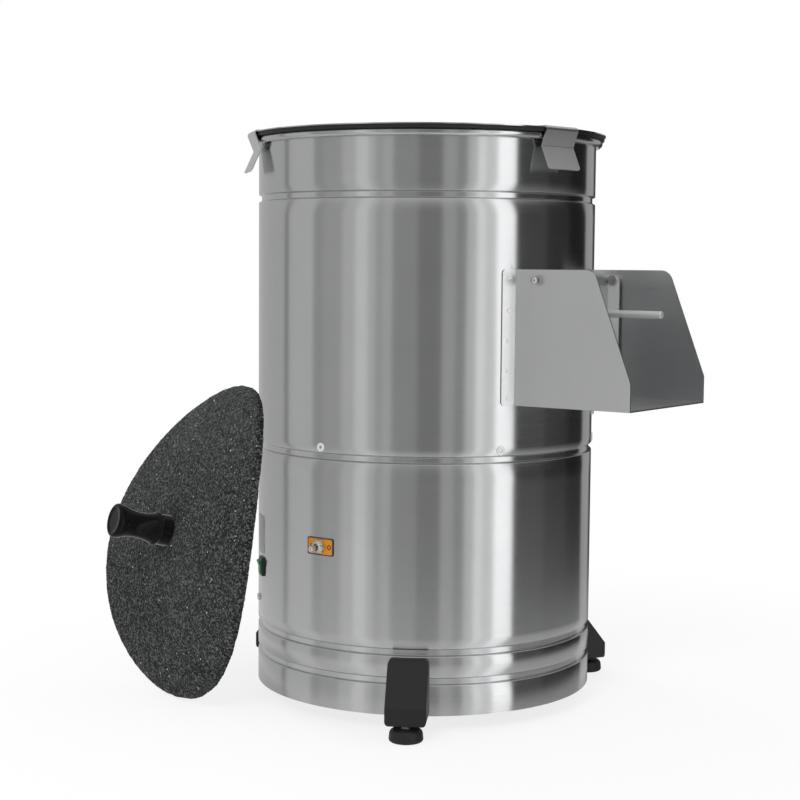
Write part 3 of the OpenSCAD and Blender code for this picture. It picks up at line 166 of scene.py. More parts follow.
# Fine parallel marks of a brush or a belt, long in two directions and narrow in the third, on a sheet
# whose face is a little wavy, so that straight reflections waver
def makeBrushMarks():
    group, given, result = makeGroup(
        "brushMarks",
        [("Along", "NodeSocketFloat", 6.0), ("Across", "NodeSocketFloat", 1400.0),
         ("Depth", "NodeSocketFloat", 0.05), ("Patches", "NodeSocketFloat", 9.0),
         ("Waves", "NodeSocketFloat", 0.0)],
        [("Marks", "NodeSocketFloat"), ("Smudge", "NodeSocketFloat"), ("Normal", "NodeSocketVector")],
    )
    links = group.links
    where = addNode(group, "ShaderNodeTexCoord")
    scale = addNode(group, "ShaderNodeCombineXYZ")
    links.new(given.outputs["Along"], scale.inputs[0])
    links.new(given.outputs["Along"], scale.inputs[1])
    links.new(given.outputs["Across"], scale.inputs[2])
    stretch = addNode(group, "ShaderNodeVectorMath", operation="MULTIPLY")
    links.new(where.outputs["Object"], stretch.inputs[0])
    links.new(scale.outputs[0], stretch.inputs[1])
    lines = addNode(group, "ShaderNodeTexNoise", {"Scale": 1.0, "Detail": 5.0, "Roughness": 0.65})
    links.new(stretch.outputs[0], lines.inputs["Vector"])
    patches = addNode(group, "ShaderNodeTexNoise", {"Detail": 4.0, "Roughness": 0.6})
    links.new(where.outputs["Object"], patches.inputs["Vector"])
    links.new(given.outputs["Patches"], patches.inputs["Scale"])
    drawn = addNode(group, "ShaderNodeVectorMath", operation="MULTIPLY")
    drawn.inputs[1].default_value = (22, 22, 3.2)
    links.new(where.outputs["Object"], drawn.inputs[0])
    sheet = addNode(group, "ShaderNodeTexNoise", {"Scale": 1.0, "Detail": 1.5, "Roughness": 0.45})
    links.new(drawn.outputs[0], sheet.inputs["Vector"])
    wavy = addNode(group, "ShaderNodeBump", {"Distance": 0.001})
    links.new(given.outputs["Waves"], wavy.inputs["Strength"])
    links.new(sheet.outputs["Fac"], wavy.inputs["Height"])
    bump = addNode(group, "ShaderNodeBump", {"Distance": 0.0004})
    links.new(given.outputs["Depth"], bump.inputs["Strength"])
    links.new(lines.outputs["Fac"], bump.inputs["Height"])
    links.new(wavy.outputs["Normal"], bump.inputs["Normal"])
    links.new(lines.outputs["Fac"], result.inputs["Marks"])
    links.new(patches.outputs["Fac"], result.inputs["Smudge"])
    links.new(bump.outputs["Normal"], result.inputs["Normal"])
    return group


# Small irregular bumps of a cast, moulded or painted face, with a slow change of tone
def makeGrainyFace():
    group, given, result = makeGroup(
        "grainyFace",
        [("Size", "NodeSocketFloat", 500.0), ("Depth", "NodeSocketFloat", 0.2)],
        [("Grain", "NodeSocketFloat"), ("Tone", "NodeSocketFloat"), ("Normal", "NodeSocketVector")],
    )
    links = group.links
    where = addNode(group, "ShaderNodeTexCoord")
    grain = addNode(group, "ShaderNodeTexNoise", {"Detail": 3.0, "Roughness": 0.6})
    links.new(where.outputs["Object"], grain.inputs["Vector"])
    links.new(given.outputs["Size"], grain.inputs["Scale"])
    tone = addNode(group, "ShaderNodeTexNoise", {"Scale": 24.0, "Detail": 4.0, "Roughness": 0.55})
    links.new(where.outputs["Object"], tone.inputs["Vector"])
    bump = addNode(group, "ShaderNodeBump", {"Distance": 0.0006})
    links.new(given.outputs["Depth"], bump.inputs["Strength"])
    links.new(grain.outputs["Fac"], bump.inputs["Height"])
    links.new(grain.outputs["Fac"], result.inputs["Grain"])
    links.new(tone.outputs["Fac"], result.inputs["Tone"])
    links.new(bump.outputs["Normal"], result.inputs["Normal"])
    return group


brushMarks = makeBrushMarks()
grainyFace = makeGrainyFace()


def startMaterial(name, **values):
    material = bpy.data.materials.new(name)
    material.use_nodes = True
    tree = material.node_tree
    shader = tree.nodes["Principled BSDF"]
    for key, value in values.items():
        shader.inputs[key.replace("_", " ")].default_value = value
    return material, tree, shader


def mapRange(tree, source, low, high, fromLow=0.3, fromHigh=0.7, **settings):
    node = addNode(tree, "ShaderNodeMapRange", {1: fromLow, 2: fromHigh, 3: low, 4: high}, **settings)
    tree.links.new(source, node.inputs[0])
    return node.outputs[0]


def mixColours(tree, factor, first, second):
    node = addNode(tree, "ShaderNodeMix", data_type="RGBA")
    node.inputs[6].default_value = (*first, 1)
    node.inputs[7].default_value = (*second, 1)
    tree.links.new(factor, node.inputs[0])
    return node.outputs[2]


def metal(name, dark, light, rough, along, across, depth, patches, waves=0.0, stretch=0.0):
    # rough is the range of roughness between the marks; stretch turns reflections into upright streaks
    material, tree, shader = startMaterial(name, Metallic=1.0)
    marks = addNode(tree, "ShaderNodeGroup", node_tree=brushMarks)
    for key, value in (("Along", along), ("Across", across), ("Depth", depth), ("Patches", patches),
                       ("Waves", waves)):
        marks.inputs[key].default_value = value
    tree.links.new(mixColours(tree, marks.outputs["Smudge"], dark, light), shader.inputs["Base Color"])
    tree.links.new(mapRange(tree, marks.outputs["Marks"], *rough), shader.inputs["Roughness"])
    tree.links.new(marks.outputs["Normal"], shader.inputs["Normal"])
    if stretch:
        shader.inputs["Anisotropic"].default_value = stretch
        shader.inputs["Anisotropic Rotation"].default_value = 0.25
        tangent = addNode(tree, "ShaderNodeTangent", direction_type="RADIAL", axis="Z")
        tree.links.new(tangent.outputs[0], shader.inputs["Tangent"])
    return material


def coated(name, dark, light, rough, size=500.0, depth=0.2, **values):
    material, tree, shader = startMaterial(name, **values)
    face = addNode(tree, "ShaderNodeGroup", node_tree=grainyFace)
    face.inputs["Size"].default_value = size
    face.inputs["Depth"].default_value = depth
    tree.links.new(mixColours(tree, face.outputs["Tone"], dark, light), shader.inputs["Base Color"])
    tree.links.new(mapRange(tree, face.outputs["Tone"], *rough), shader.inputs["Roughness"])
    tree.links.new(face.outputs["Normal"], shader.inputs["Normal"])
    return material


# Silicon carbide grit in dark resin: each grain has its own tone, and here and there one is painted pale as a
# glint
grit = {
    "black": (0.002, 0.0022, 0.0025), "middle": (0.014, 0.015, 0.016), "grey": (0.115, 0.118, 0.121),
    "middleAt": 0.55, "flash": (0.55, 0.56, 0.57), "flashEdge": 0.004, "dust": (0.012, 0.0125, 0.0125),
    "shine": 0.22, "bump": 0.85,
}


def makeGrit(name, size, flash):
    # flash is the share of grains that stay dark
    material, tree, shader = startMaterial(name, Specular_IOR_Level=grit["shine"])
    where = addNode(tree, "ShaderNodeTexCoord")
    grains = addNode(tree, "ShaderNodeTexVoronoi", {"Scale": size, "Randomness": 1.0})
    tree.links.new(where.outputs["Object"], grains.inputs["Vector"])
    tone = addNode(tree, "ShaderNodeSeparateColor")
    tree.links.new(grains.outputs["Color"], tone.inputs[0])
    ramp = addNode(tree, "ShaderNodeValToRGB")
    stops = ramp.color_ramp.elements
    stops[0].position, stops[0].color = 0.0, (*grit["black"], 1)
    stops[1].position, stops[1].color = 1.0, (*grit["grey"], 1)
    middle = stops.new(grit["middleAt"])
    middle.color = (*grit["middle"], 1)
    tree.links.new(tone.outputs[0], ramp.inputs[0])
    # a few grains get a pale colour: painted glints
    bright = addNode(tree, "ShaderNodeMix", data_type="RGBA")
    bright.inputs[7].default_value = (*grit["flash"], 1)
    tree.links.new(mapRange(tree, tone.outputs[1], 0, 1, flash, flash + grit["flashEdge"]), bright.inputs[0])
    tree.links.new(ramp.outputs[0], bright.inputs[6])
    wear = addNode(tree, "ShaderNodeTexNoise", {"Scale": 9.0, "Detail": 4.0})
    tree.links.new(where.outputs["Object"], wear.inputs["Vector"])
    dusty = addNode(tree, "ShaderNodeMix", data_type="RGBA", blend_type="ADD")
    dusty.inputs[7].default_value = (*grit["dust"], 1)
    tree.links.new(mapRange(tree, wear.outputs["Fac"], 0.0, 0.9, 0.40, 0.70), dusty.inputs[0])
    tree.links.new(bright.outputs[2], dusty.inputs[6])
    tree.links.new(dusty.outputs[2], shader.inputs["Base Color"])
    tree.links.new(mapRange(tree, tone.outputs[1], 0.48, 0.85, 0, 1), shader.inputs["Roughness"])
    bump = addNode(tree, "ShaderNodeBump", {"Strength": grit["bump"], "Distance": 0.0007})
    tree.links.new(tone.outputs[2], bump.inputs["Height"])
    tree.links.new(bump.outputs["Normal"], shader.inputs["Normal"])
    return material


# The door's two arms, whose faces look along Y, get less metal shine than its panel, so that they render a
# lighter white: painted light on arms that lie in the chute
def makeDoorSteel():
    material = coated("doorSteel", (0.60, 0.605, 0.61), (0.68, 0.685, 0.69), (0.30, 0.42), depth=0.05)
    tree = material.node_tree
    where = addNode(tree, "ShaderNodeTexCoord")
    parts = addNode(tree, "ShaderNodeSeparateXYZ")
    tree.links.new(where.outputs["Normal"], parts.inputs[0])
    sideways = addNode(tree, "ShaderNodeMath", operation="ABSOLUTE")
    tree.links.new(parts.outputs[1], sideways.inputs[0])
    # faces along Y get half the metal shine and so show their pale colour: painted light
    paintedLightOnArms = mapRange(tree, sideways.outputs[0], 1.0, 0.5, 0.4, 0.6)
    tree.links.new(paintedLightOnArms, tree.nodes["Principled BSDF"].inputs["Metallic"])
    return material


drumSteel = metal("drumSteel", (0.55, 0.555, 0.56), (0.66, 0.665, 0.67), (0.17, 0.22),
                  along=5.0, across=700.0, depth=0.035, patches=9.0, waves=0.16, stretch=0.95)
satinSteel = metal("satinSteel", (0.71, 0.715, 0.72), (0.78, 0.785, 0.79), (0.27, 0.36),
                   along=14.0, across=1300.0, depth=0.08, patches=16.0, waves=0.2)
brightSteel = metal("brightSteel", (0.62, 0.62, 0.61), (0.75, 0.75, 0.74), (0.12, 0.22),
                    along=60.0, across=900.0, depth=0.03, patches=120.0)
zincHardware = metal("zincHardware", (0.62, 0.63, 0.64), (0.78, 0.79, 0.80), (0.26, 0.40),
                     along=200.0, across=500.0, depth=0.05, patches=160.0)
brassMetal = metal("brassMetal", (0.58, 0.40, 0.16), (0.70, 0.50, 0.22), (0.22, 0.36),
                   along=150.0, across=600.0, depth=0.05, patches=90.0)
platedBrass = metal("platedBrass", (0.60, 0.58, 0.52), (0.80, 0.78, 0.72), (0.16, 0.26),
                    along=90.0, across=600.0, depth=0.04, patches=240.0)
rivetAluminium = coated("rivetAluminium", (0.72, 0.72, 0.71), (0.84, 0.84, 0.83), (0.30, 0.44), depth=0.05,
                        Metallic=0.45)
gritStone = makeGrit("gritStone", 600.0, 0.9955)
liningStone = makeGrit("liningStone", 560.0, 0.996)
slotMaterials = {
    "stainless_brushed": drumSteel,
    "stainless_satin": satinSteel,
    "bright_steel": brightSteel,
    "zinc_hardware": zincHardware,
    "brass": brassMetal,
    "grit": liningStone,
    "black_rubber": coated("blackRubber", (0.008, 0.008, 0.008), (0.016, 0.016, 0.017), (0.42, 0.60),
                           size=900.0, depth=0.1, Specular_IOR_Level=0.4),
    # the white nylon parts get a dark grey colour: painted shade
    "white_nylon": coated("nylonWithPaintedShade", (0.26, 0.26, 0.25), (0.34, 0.34, 0.33), (0.35, 0.5)),
    "grey_iron": coated("greyIron", (0.16, 0.165, 0.17), (0.24, 0.245, 0.25), (0.5, 0.7), size=420.0,
                        depth=0.5, Metallic=0.6),
    "windings": coated("windings", (0.30, 0.12, 0.05), (0.42, 0.19, 0.08), (0.35, 0.55), size=700.0,
                       depth=0.8),
    "grey_paint": coated("greyPaint", (0.20, 0.21, 0.22), (0.26, 0.27, 0.28), (0.38, 0.52), depth=0.12),
    "black_paint": coated("blackPaint", (0.008, 0.0083, 0.0085), (0.014, 0.0145, 0.015), (0.40, 0.52),
                          size=620.0, depth=0.22, Specular_IOR_Level=0.4),
    "white_plastic": coated("whitePlastic", (0.83, 0.83, 0.81), (0.88, 0.88, 0.86), (0.3, 0.42), depth=0.05),
    "orange_enamel": coated("orangeEnamel", (0.55, 0.19, 0.006), (0.61, 0.22, 0.009), (0.30, 0.42),
                            size=300.0, depth=0.03, Coat_Weight=0.3),
    "dark_plastic": coated("darkPlastic", (0.025, 0.026, 0.028), (0.04, 0.042, 0.044), (0.34, 0.46),
                           size=800.0, depth=0.12),
    "green_plastic": coated("greenPlastic", (0.003, 0.24, 0.085), (0.010, 0.34, 0.13), (0.26, 0.38),
                            size=300.0, depth=0.02, Specular_IOR_Level=0.25),
    "black_plastic": coated("blackPlastic", (0.003, 0.003, 0.003), (0.006, 0.006, 0.006), (0.10, 0.18),
                            size=260.0, depth=0.03, Specular_IOR_Level=0.10),
}
for part in frame["record"]["subparts"]:
    for place in nodes[part["node"]].material_slots:
        place.material = slotMaterials[part["material_slot"]]
for place in nodes["chute"].material_slots:
    place.material = satinSteel  # folded, so without the drum's long brush marks
rodSteel = coated("rodSteel", (0.56, 0.565, 0.57), (0.64, 0.645, 0.65), (0.30, 0.42), depth=0.05,
                  Metallic=0.55)
finer = {"chute_rivets": rivetAluminium, "door_handle": rodSteel, "door": makeDoorSteel(),
         "pivot_bolts": brightSteel, "pivot_nuts": brightSteel}
for name, finish in finer.items():
    for place in nodes[name].material_slots:
        place.material = finish
print("materials made")


# The drum: one turned sheet with its rolled grooves, its rolled rim and the opening behind the door
drum = {
    "radius": 190.0, "sheet": 1.5, "bottom": 18.0, "grooveTops": (58.0, 88.5, 291.0, 566.0),
    "grooveHeight": 7.0, "grooveWidth": 9.2, "grooveDepth": 3.2, "grooveStep": 0.23, "grooveRows": 24,
    "rowStep": 20, "rowClear": 5, "beadRadius": 4.3, "beadSteps": 30, "rimTop": 630.2,
    "openingHalf": 73.0, "openingBottom": 352.0, "openingTop": 470.0, "segments": 720,
}


def drumRows(r):
    # radius and height of the wall from the bottom to just under the rim
    rows = [(r, drum["bottom"])]
    wide, step = drum["grooveWidth"], drum["grooveStep"]
    for top in drum["grooveTops"]:
        bottom = top - drum["grooveHeight"] / 2 - wide / 2
        for i in range(drum["grooveRows"] + 1):
            t = i / drum["grooveRows"]
            side = min(1.0, min(t, 1 - t) / step)
            rows.append((r - drum["grooveDepth"] * side * side * (3 - 2 * side), bottom + wide * t))
    plain = list(range(100, 620, drum["rowStep"])) + [drum["openingBottom"], drum["openingTop"]]
    taken = [z for _, z in rows]
    rows += [(r, float(z)) for z in plain if all(abs(z - q) > drum["rowClear"] for q in taken)]
    return sorted(rows, key=lambda p: p[1])


def makeDrum():
    r, inner = drum["radius"], drum["radius"] - drum["sheet"]
    beadR = drum["beadRadius"]
    beadX, beadZ = inner + beadR, drum["rimTop"] - beadR
    meet = 360 - math.degrees(math.acos((r - beadX) / beadR))
    outer, inside = drumRows(r), drumRows(inner)
    bead = arc(beadX, beadZ, beadR, meet, 540, drum["beadSteps"])
    profile = outer + bead + inside[::-1]
    half = math.degrees(math.asin(drum["openingHalf"] / r))
    inOpening = round(drum["segments"] * half / 180)
    turns = [-half + 2 * half * i / inOpening for i in range(inOpening)]
    rest = drum["segments"] - inOpening
    turns += [half + (360 - 2 * half) * i / rest for i in range(rest)]
    verts = []
    for q, z in profile:
        for t in turns:
            a = math.radians(t)
            verts.append((q * math.cos(a), q * math.sin(a), z))
    n, m = len(turns), len(profile)

    def gap(i, j):
        z = (profile[i][1] + profile[(i + 1) % m][1]) / 2
        wall = i < len(outer) - 1 or i >= len(outer) + len(bead)
        return wall and i != m - 1 and j < inOpening and drum["openingBottom"] < z < drum["openingTop"]

    faces = [
        (i * n + j, i * n + (j + 1) % n, (i + 1) % m * n + (j + 1) % n, (i + 1) % m * n + j)
        for i in range(m) for j in range(n) if not gap(i, j)
    ]
    # the cut edge of the sheet round the opening
    outRow = {z: i for i, (q, z) in enumerate(profile[:len(outer)])}
    inRow = {z: i + len(outer) + len(bead) for i, (q, z) in enumerate(inside[::-1])}
    for z in (drum["openingBottom"], drum["openingTop"]):
        a, b = outRow[z] * n, inRow[z] * n
        faces += [(a + j, a + j + 1, b + j + 1, b + j) for j in range(inOpening)]
    inGap = [z for z in sorted(outRow) if drum["openingBottom"] <= z <= drum["openingTop"]]
    for j in (0, inOpening):
        for low, high in zip(inGap, inGap[1:]):
            faces.append((outRow[low] * n + j, outRow[high] * n + j, inRow[high] * n + j, inRow[low] * n + j))
    addPiece("drumShell", verts, faces, "machine", drumSteel, "stainless_brushed", ["casing"], sharp=50)


makeDrum()
print("drum made")


# Pop rivets above the waist groove: domed heads with a deep bore where the pin broke off
rivet = {
    "count": 6, "shank": 2.4, "head": 4.8, "dome": 1.3, "edge": 0.3, "bore": 1.85, "lip": 0.4,
    "lipDepth": 0.35, "grip": 3.0, "bulb": 3.2, "bulbStart": 0.1, "bulbEnd": 1.6, "tail": 2.4,
}


def makeRivets():
    low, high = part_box("floor_rivets")
    height = (low[2] + high[2]) / 2 / mm
    c, back = rivet, -rivet["grip"]
    r, bore, head, dome, edge = c["shank"], c["bore"], c["head"], c["dome"], c["edge"]
    bulbTop, bulbFoot, tail = back - c["bulbStart"], back - c["bulbEnd"], back - c["tail"]
    profile = [(0, bulbFoot), (bore, bulbFoot), (bore, dome - c["lipDepth"]), (bore + c["lip"], dome)]
    profile += arc(head - 1, edge, dome - edge, 90, 0, 5) + [(head, edge), (head, 0), (r, 0), (r, back)]
    profile += [(c["bulb"], bulbTop), (c["bulb"], bulbFoot), (r, tail), (0, tail)]
    for k in range(c["count"]):
        place = outwardFrame(k * 360 / c["count"], height, drum["radius"])
        addPiece(f"floorRivet{k + 1}", *lathe(profile, 40), "machine", rivetAluminium, "zinc_hardware",
                 ["floor_rivets"], place, sharp=50)


makeRivets()
print("rivets made")


# The lid's three spring clips, with rounded folds
clip = {
    "bearings": (80.0, 200.0, 320.0), "width": 50.0, "sheet": 1.3, "foldRadius": 2.2, "tipCorner": 4.0,
    "tipSteps": 7,
    "path": ((181.6, 634.2), (201.2, 634.2), (193.25, 614.5), (204.25, 590.0)),
}


def foldedPath(points, radius, steps=6):
    out = [points[0]]
    for a, p, b in zip(points, points[1:], points[2:]):
        a, p, b = Vector(a), Vector(p), Vector(b)
        u, v = (a - p).normalized(), (b - p).normalized()
        halfAngle = u.angle(v) / 2
        reach = radius / math.tan(halfAngle)
        centre = p + (u + v).normalized() * radius / math.sin(halfAngle)
        start, end = p + u * reach - centre, p + v * reach - centre
        turn = math.atan2(start.x * end.y - start.y * end.x, start.dot(end))
        for i in range(steps + 1):
            c, s = math.cos(turn * i / steps), math.sin(turn * i / steps)
            out.append((centre.x + c * start.x - s * start.y, centre.y + s * start.x + c * start.y))
    out.append(points[-1])
    return out


def makeClips():
    path = foldedPath([Vector(p) for p in clip["path"]], clip["foldRadius"])
    length = [0.0]
    for a, b in zip(path, path[1:]):
        length.append(length[-1] + math.dist(a, b))
    corner, total, half = clip["tipCorner"], length[-1], clip["width"] / 2
    # more stations near both ends, where the corners are round
    tips = [corner * (1 - math.cos(math.pi * k / (2 * clip["tipSteps"]))) for k in range(1, clip["tipSteps"])]
    stops = sorted(set(length + tips + [total - tip for tip in tips]))
    sections = []
    for s in stops:
        k = max(i for i in range(len(length) - 1) if length[i] <= s + 1e-9)
        t = min(1.0, (s - length[k]) / (length[k + 1] - length[k]))
        a, b = Vector(path[k]), Vector(path[k + 1])
        point, way = a + (b - a) * t, (b - a).normalized()
        end = min(s, total - s)
        cut = 0 if end >= corner else corner - math.sqrt(max(0, corner ** 2 - (corner - end) ** 2))
        sections.append((point, Vector((-way.y, way.x)), half - cut))
    for k, bearing in enumerate(clip["bearings"]):
        a = math.radians(bearing)
        out, side = Vector((math.sin(a), -math.cos(a), 0)), Vector((math.cos(a), math.sin(a), 0))
        verts = []
        for point, normal, reach in sections:
            for lift in (0, clip["sheet"]):
                q = point + normal * lift
                for w in (-reach, reach):
                    verts.append(out * q.x + Vector((0, 0, q.y)) + side * w)
        faces = []
        for i in range(len(sections) - 1):
            c, d = 4 * i, 4 * i + 4
            faces += [(c, c + 1, d + 1, d), (c + 2, d + 2, d + 3, c + 3),
                      (c, d, d + 2, c + 2), (c + 1, c + 3, d + 3, d + 1)]
        last = 4 * len(sections) - 4
        faces += [(0, 2, 3, 1), (last, last + 1, last + 3, last + 2)]
        addPiece(f"lidClip{k + 1}", verts, faces, "lid", satinSteel, "stainless_satin",
                 ["lid_clips"], sharp=40)


makeClips()
print("lid clips made")


# The abrasive disc, leaned on the drum: a wavy gritty plate with a rough broken rim
disc = {
    "radius": 180.5, "hole": 10.0, "thickness": 9.0, "dome": 28.0, "wave": 22.0, "lean": 15.0, "roll": -30.0,
    "facing": -23.0, "bearing": -47.0, "stand": 267.652, "height": 181.61, "grit": 0.55, "backGrit": 0.12,
    "notch": 0.9, "fineChips": 0.4, "slowChips": 0.7, "wornFrom": 0.992, "wornShare": 0.008, "wornDrop": 1.6,
    "rings": 110, "segments": 640,
}


def discFrame():
    turn = Matrix.Rotation(math.radians(disc["facing"]), 4, "Z")
    lean = Matrix.Rotation(math.radians(90 - disc["lean"]), 4, "X")
    roll = Matrix.Rotation(math.radians(disc["roll"]), 4, "Z")
    return Matrix.Translation(polar(disc["bearing"], disc["stand"], disc["height"])) @ turn @ lean @ roll


def discFace(x, y):
    r = disc["radius"]
    return disc["dome"] * (1 - (x * x + y * y) / r ** 2) + 2 * disc["wave"] * x * y / r ** 2


def makeDisc():
    rng = np.random.default_rng(7)
    n, rings = disc["segments"], disc["rings"]
    turn = np.arange(n) * 2 * np.pi / n
    # slow chips and fine grains along the rim
    rim = rng.normal(0, 1, n)
    slow = np.convolve(np.tile(rng.normal(0, 1, n // 4).repeat(4), 3), np.ones(9) / 9, "same")[n:2 * n]
    chips = disc["fineChips"] * np.abs(rim) + disc["slowChips"] * np.abs(slow)
    edge = disc["radius"] - disc["notch"] * chips
    verts, start = [], {}
    for side in (0, 1):
        for i in range(rings + 1):
            share = i / rings
            r = disc["hole"] + (edge - disc["hole"]) * share
            x, y = r * np.cos(turn), r * np.sin(turn)
            bumps = (disc["backGrit"] if side else disc["grit"]) * rng.random(n)
            worn = disc["wornDrop"] * np.clip((share - disc["wornFrom"]) / disc["wornShare"], 0, 1) ** 2
            z = discFace(x, y)
            z = z - disc["thickness"] + worn + bumps if side else z - worn - bumps
            start[side, i] = len(verts)
            verts += list(zip(x, y, z))
    faces = []
    for side in (0, 1):
        for i in range(rings):
            a, b = start[side, i], start[side, i + 1]
            faces += [(a + j, b + j, b + (j + 1) % n, a + (j + 1) % n) for j in range(n)]
    for i in (0, rings):
        a, b = start[0, i], start[1, i]
        faces += [(a + j, a + (j + 1) % n, b + (j + 1) % n, b + j) for j in range(n)]
    addPiece("gritDisc", verts, faces, "disc", gritStone, "grit", ["abrasive_disc"], discFrame(), sharp=180)


makeDisc()
print("abrasive disc made")


# The disc's turned knob, a reel with a flat cap and a collar at its foot
knob = {"length": 67.0, "endRadius": 19.0, "waistRadius": 14.4, "footRadius": 17.3, "collarTop": 14.0}


def makeKnob():
    end, waist, foot, top = knob["endRadius"], knob["waistRadius"], knob["footRadius"], knob["length"]
    collar = knob["collarTop"]
    profile = [(0, 0), (foot - 1, 0)] + arc(foot - 1, 1, 1, -90, 0, 4)
    profile += [(foot, collar - 2)] + arc(foot - 0.6, collar + 2.4, 2.4, -60, 70, 8)
    low, high = collar + 5, top - 8  # of the waist
    for i in range(1, 24):
        t = i / 24
        bend = abs(2 * t - 1) ** 2.2
        near = foot + 0.2 if t < 0.5 else end
        profile.append((waist + (near - waist) * bend, low + (high - low) * t))
    profile += arc(end - 3, top - 5.5, 3, -25, 0, 3) + arc(end - 3, top - 3, 3, 0, 90, 8)
    # a shallow round recess in the cap
    profile += [(end - 4.2, top - 0.1), (end - 5, top - 0.7), (end - 9, top - 0.8), (0, top - 0.8)]
    place = discFrame() @ Matrix.Translation((0, 0, disc["dome"]))
    addPiece("reelKnob", *lathe(profile, 128), "disc", slotMaterials["black_plastic"], "black_plastic",
             ["disc_knob"], place, sharp=60)


makeKnob()
for piece in ("gritDisc", "reelKnob"):
    bpy.data.objects[piece].visible_glossy = False  # keeps the drum's bright side clean
nodes["disc_hub"].visible_glossy = False
print("knob made")


# Levelling feet: rolled threads on the studs and domed rubber pads
foot = {
    "bearings": (31.0, 151.0, 271.0), "radius": 221.0, "padRadius": 18.0, "padHeight": 14.0,
    "studRadius": 5.0, "studBottom": 6.0, "studTop": 44.0, "pitch": 1.5, "threadDepth": 0.85,
}


def threadAt(pitch, depth):
    def radiusAt(r, z, t):
        phase = (z / pitch - t / (2 * math.pi)) % 1
        return r - depth * abs(2 * phase - 1)
    return radiusAt


def makeFeet():
    pad, tall, stud = foot["padRadius"], foot["padHeight"], foot["studRadius"]
    # a rounded sole, a domed shoulder and a dip round the stud
    profile = [(0, 0), (pad - 3.2, 0)] + arc(pad - 3, 3.2, 3, -70, 12, 6)
    profile += arc(pad - 6.4, tall - 6.2, 6.0, 14, 84, 9)
    profile += [(stud + 1.6, tall), (stud + 0.6, tall - 0.5), (0, tall - 0.5)]
    steps = round((foot["studTop"] - foot["studBottom"] - 1) / foot["pitch"] * 8)
    rod = [(0, foot["studBottom"])]
    rod += [(stud, foot["studBottom"] + i * foot["pitch"] / 8) for i in range(steps + 1)]
    rod += [(stud - 1, foot["studTop"]), (0, foot["studTop"])]
    for k, bearing in enumerate(foot["bearings"], 1):
        place = Matrix.Translation(polar(bearing, foot["radius"], 0))
        addPiece(f"rubberPad{k}", *lathe(profile, 96), f"foot_{k}", slotMaterials["black_rubber"],
                 "black_rubber", [f"foot_pad_{k}"], place, sharp=60)
        addPiece(f"threadedStud{k}", *lathe(rod, 48, threadAt(foot["pitch"], foot["threadDepth"])),
                 f"foot_{k}", zincHardware, "zinc_hardware", [f"foot_stud_{k}"], place, sharp=70)


makeFeet()
print("feet made")


# The selector's dark case in the drum, its threaded bush and the bevelled nut that holds the plate
selector = {
    "bearing": 0.0, "height": 191.0, "case": (28.0, 16.0), "caseBack": 162.5, "caseFront": 187.6,
    "bushBack": 184.5, "bushEnd": 199.0, "bushRadius": 6.0, "bore": 3.4, "pitch": 1.0, "threadDepth": 0.5,
    "endBevel": 0.6, "boreBevel": 0.5, "nutBase": 191.0, "nutHeight": 3.0, "nutFlats": 14.0, "bevel": 0.9,
}


def welded(work):
    bmesh.ops.remove_doubles(work, verts=work.verts, dist=1e-6)


def makeSelector():
    c, bearing, height = selector, selector["bearing"], selector["height"]
    case = outwardFrame(bearing, height, c["caseBack"])
    addPiece("selectorCase", *prism(rounded(*c["case"], 1.5), c["caseFront"] - c["caseBack"]), "machine",
             slotMaterials["dark_plastic"], "dark_plastic", ["selector_body"], case)
    long, r, bore, end = c["bushEnd"] - c["bushBack"], c["bushRadius"], c["bore"], c["endBevel"]
    steps = round((long - end) / c["pitch"] * 6)
    profile = [(bore, 0)] + [(r, (long - end) * i / steps) for i in range(steps + 1)]
    profile += [(r - end, long), (bore + c["boreBevel"], long), (bore, long - end), (bore, 0)]
    thread = threadAt(c["pitch"], c["threadDepth"])
    bush = outwardFrame(bearing, height, c["bushBack"])
    addPiece("selectorBush", *lathe(profile, 60, lambda q, z, t: thread(q, z, t) if q > r - 0.3 else q),
             "machine", platedBrass, "bright_steel", ["selector_body"], bush, finish=welded)
    half, tall, bevel = c["nutFlats"] / 2, c["nutHeight"], c["bevel"]

    def onHexagon(q, z, t):
        if q < half:
            return q
        face = half / math.cos(t % (math.pi / 3) - math.pi / 6)
        return min(face, half - 0.1 + 1.8 * min(bevel, min(z, tall - z) + 0.02) / bevel)

    rows = [(half, z) for z in (0, bevel / 3, 2 * bevel / 3, bevel)]
    rows += [(half, tall - z) for z in (bevel, 2 * bevel / 3, bevel / 3, 0)]
    nut = outwardFrame(bearing, height, c["nutBase"])
    addPiece("selectorNut", *lathe([(r - 0.25, 0)] + rows + [(r - 0.25, tall), (r - 0.25, 0)], 72, onHexagon),
             "machine", platedBrass, "bright_steel", ["selector_nut"], nut, finish=welded, sharp=25)


makeSelector()
print("selector made")


# The dark border of the selector's plate, and its two printed marks
marks = {
    "plateBearing": 0.0, "plateHeight": 191.0, "plateWidth": 34.2, "plateTall": 18.7, "border": 1.1,
    "corner": 1.5, "edge": 190.15, "raise": 191.02, "ink": 0.12, "barLeft": -12.9, "barRight": -11.7,
    "barHalf": 2.6, "ringAt": 12.3, "ringOuter": 2.6, "ringInner": 1.5,
}


def onDrum(outline, bearing, height, low, high):
    # wraps a flat outline round the drum: x runs along the wall, y up
    verts = []
    for r in (low, high):
        for x, y in outline:
            verts.append(polar(bearing + math.degrees(x / low), r, height + y))
    n = len(outline)
    faces = [tuple(range(n)), tuple(range(2 * n - 1, n - 1, -1))]
    faces += [(i, n + i, n + (i + 1) % n, (i + 1) % n) for i in range(n)]
    return verts, faces


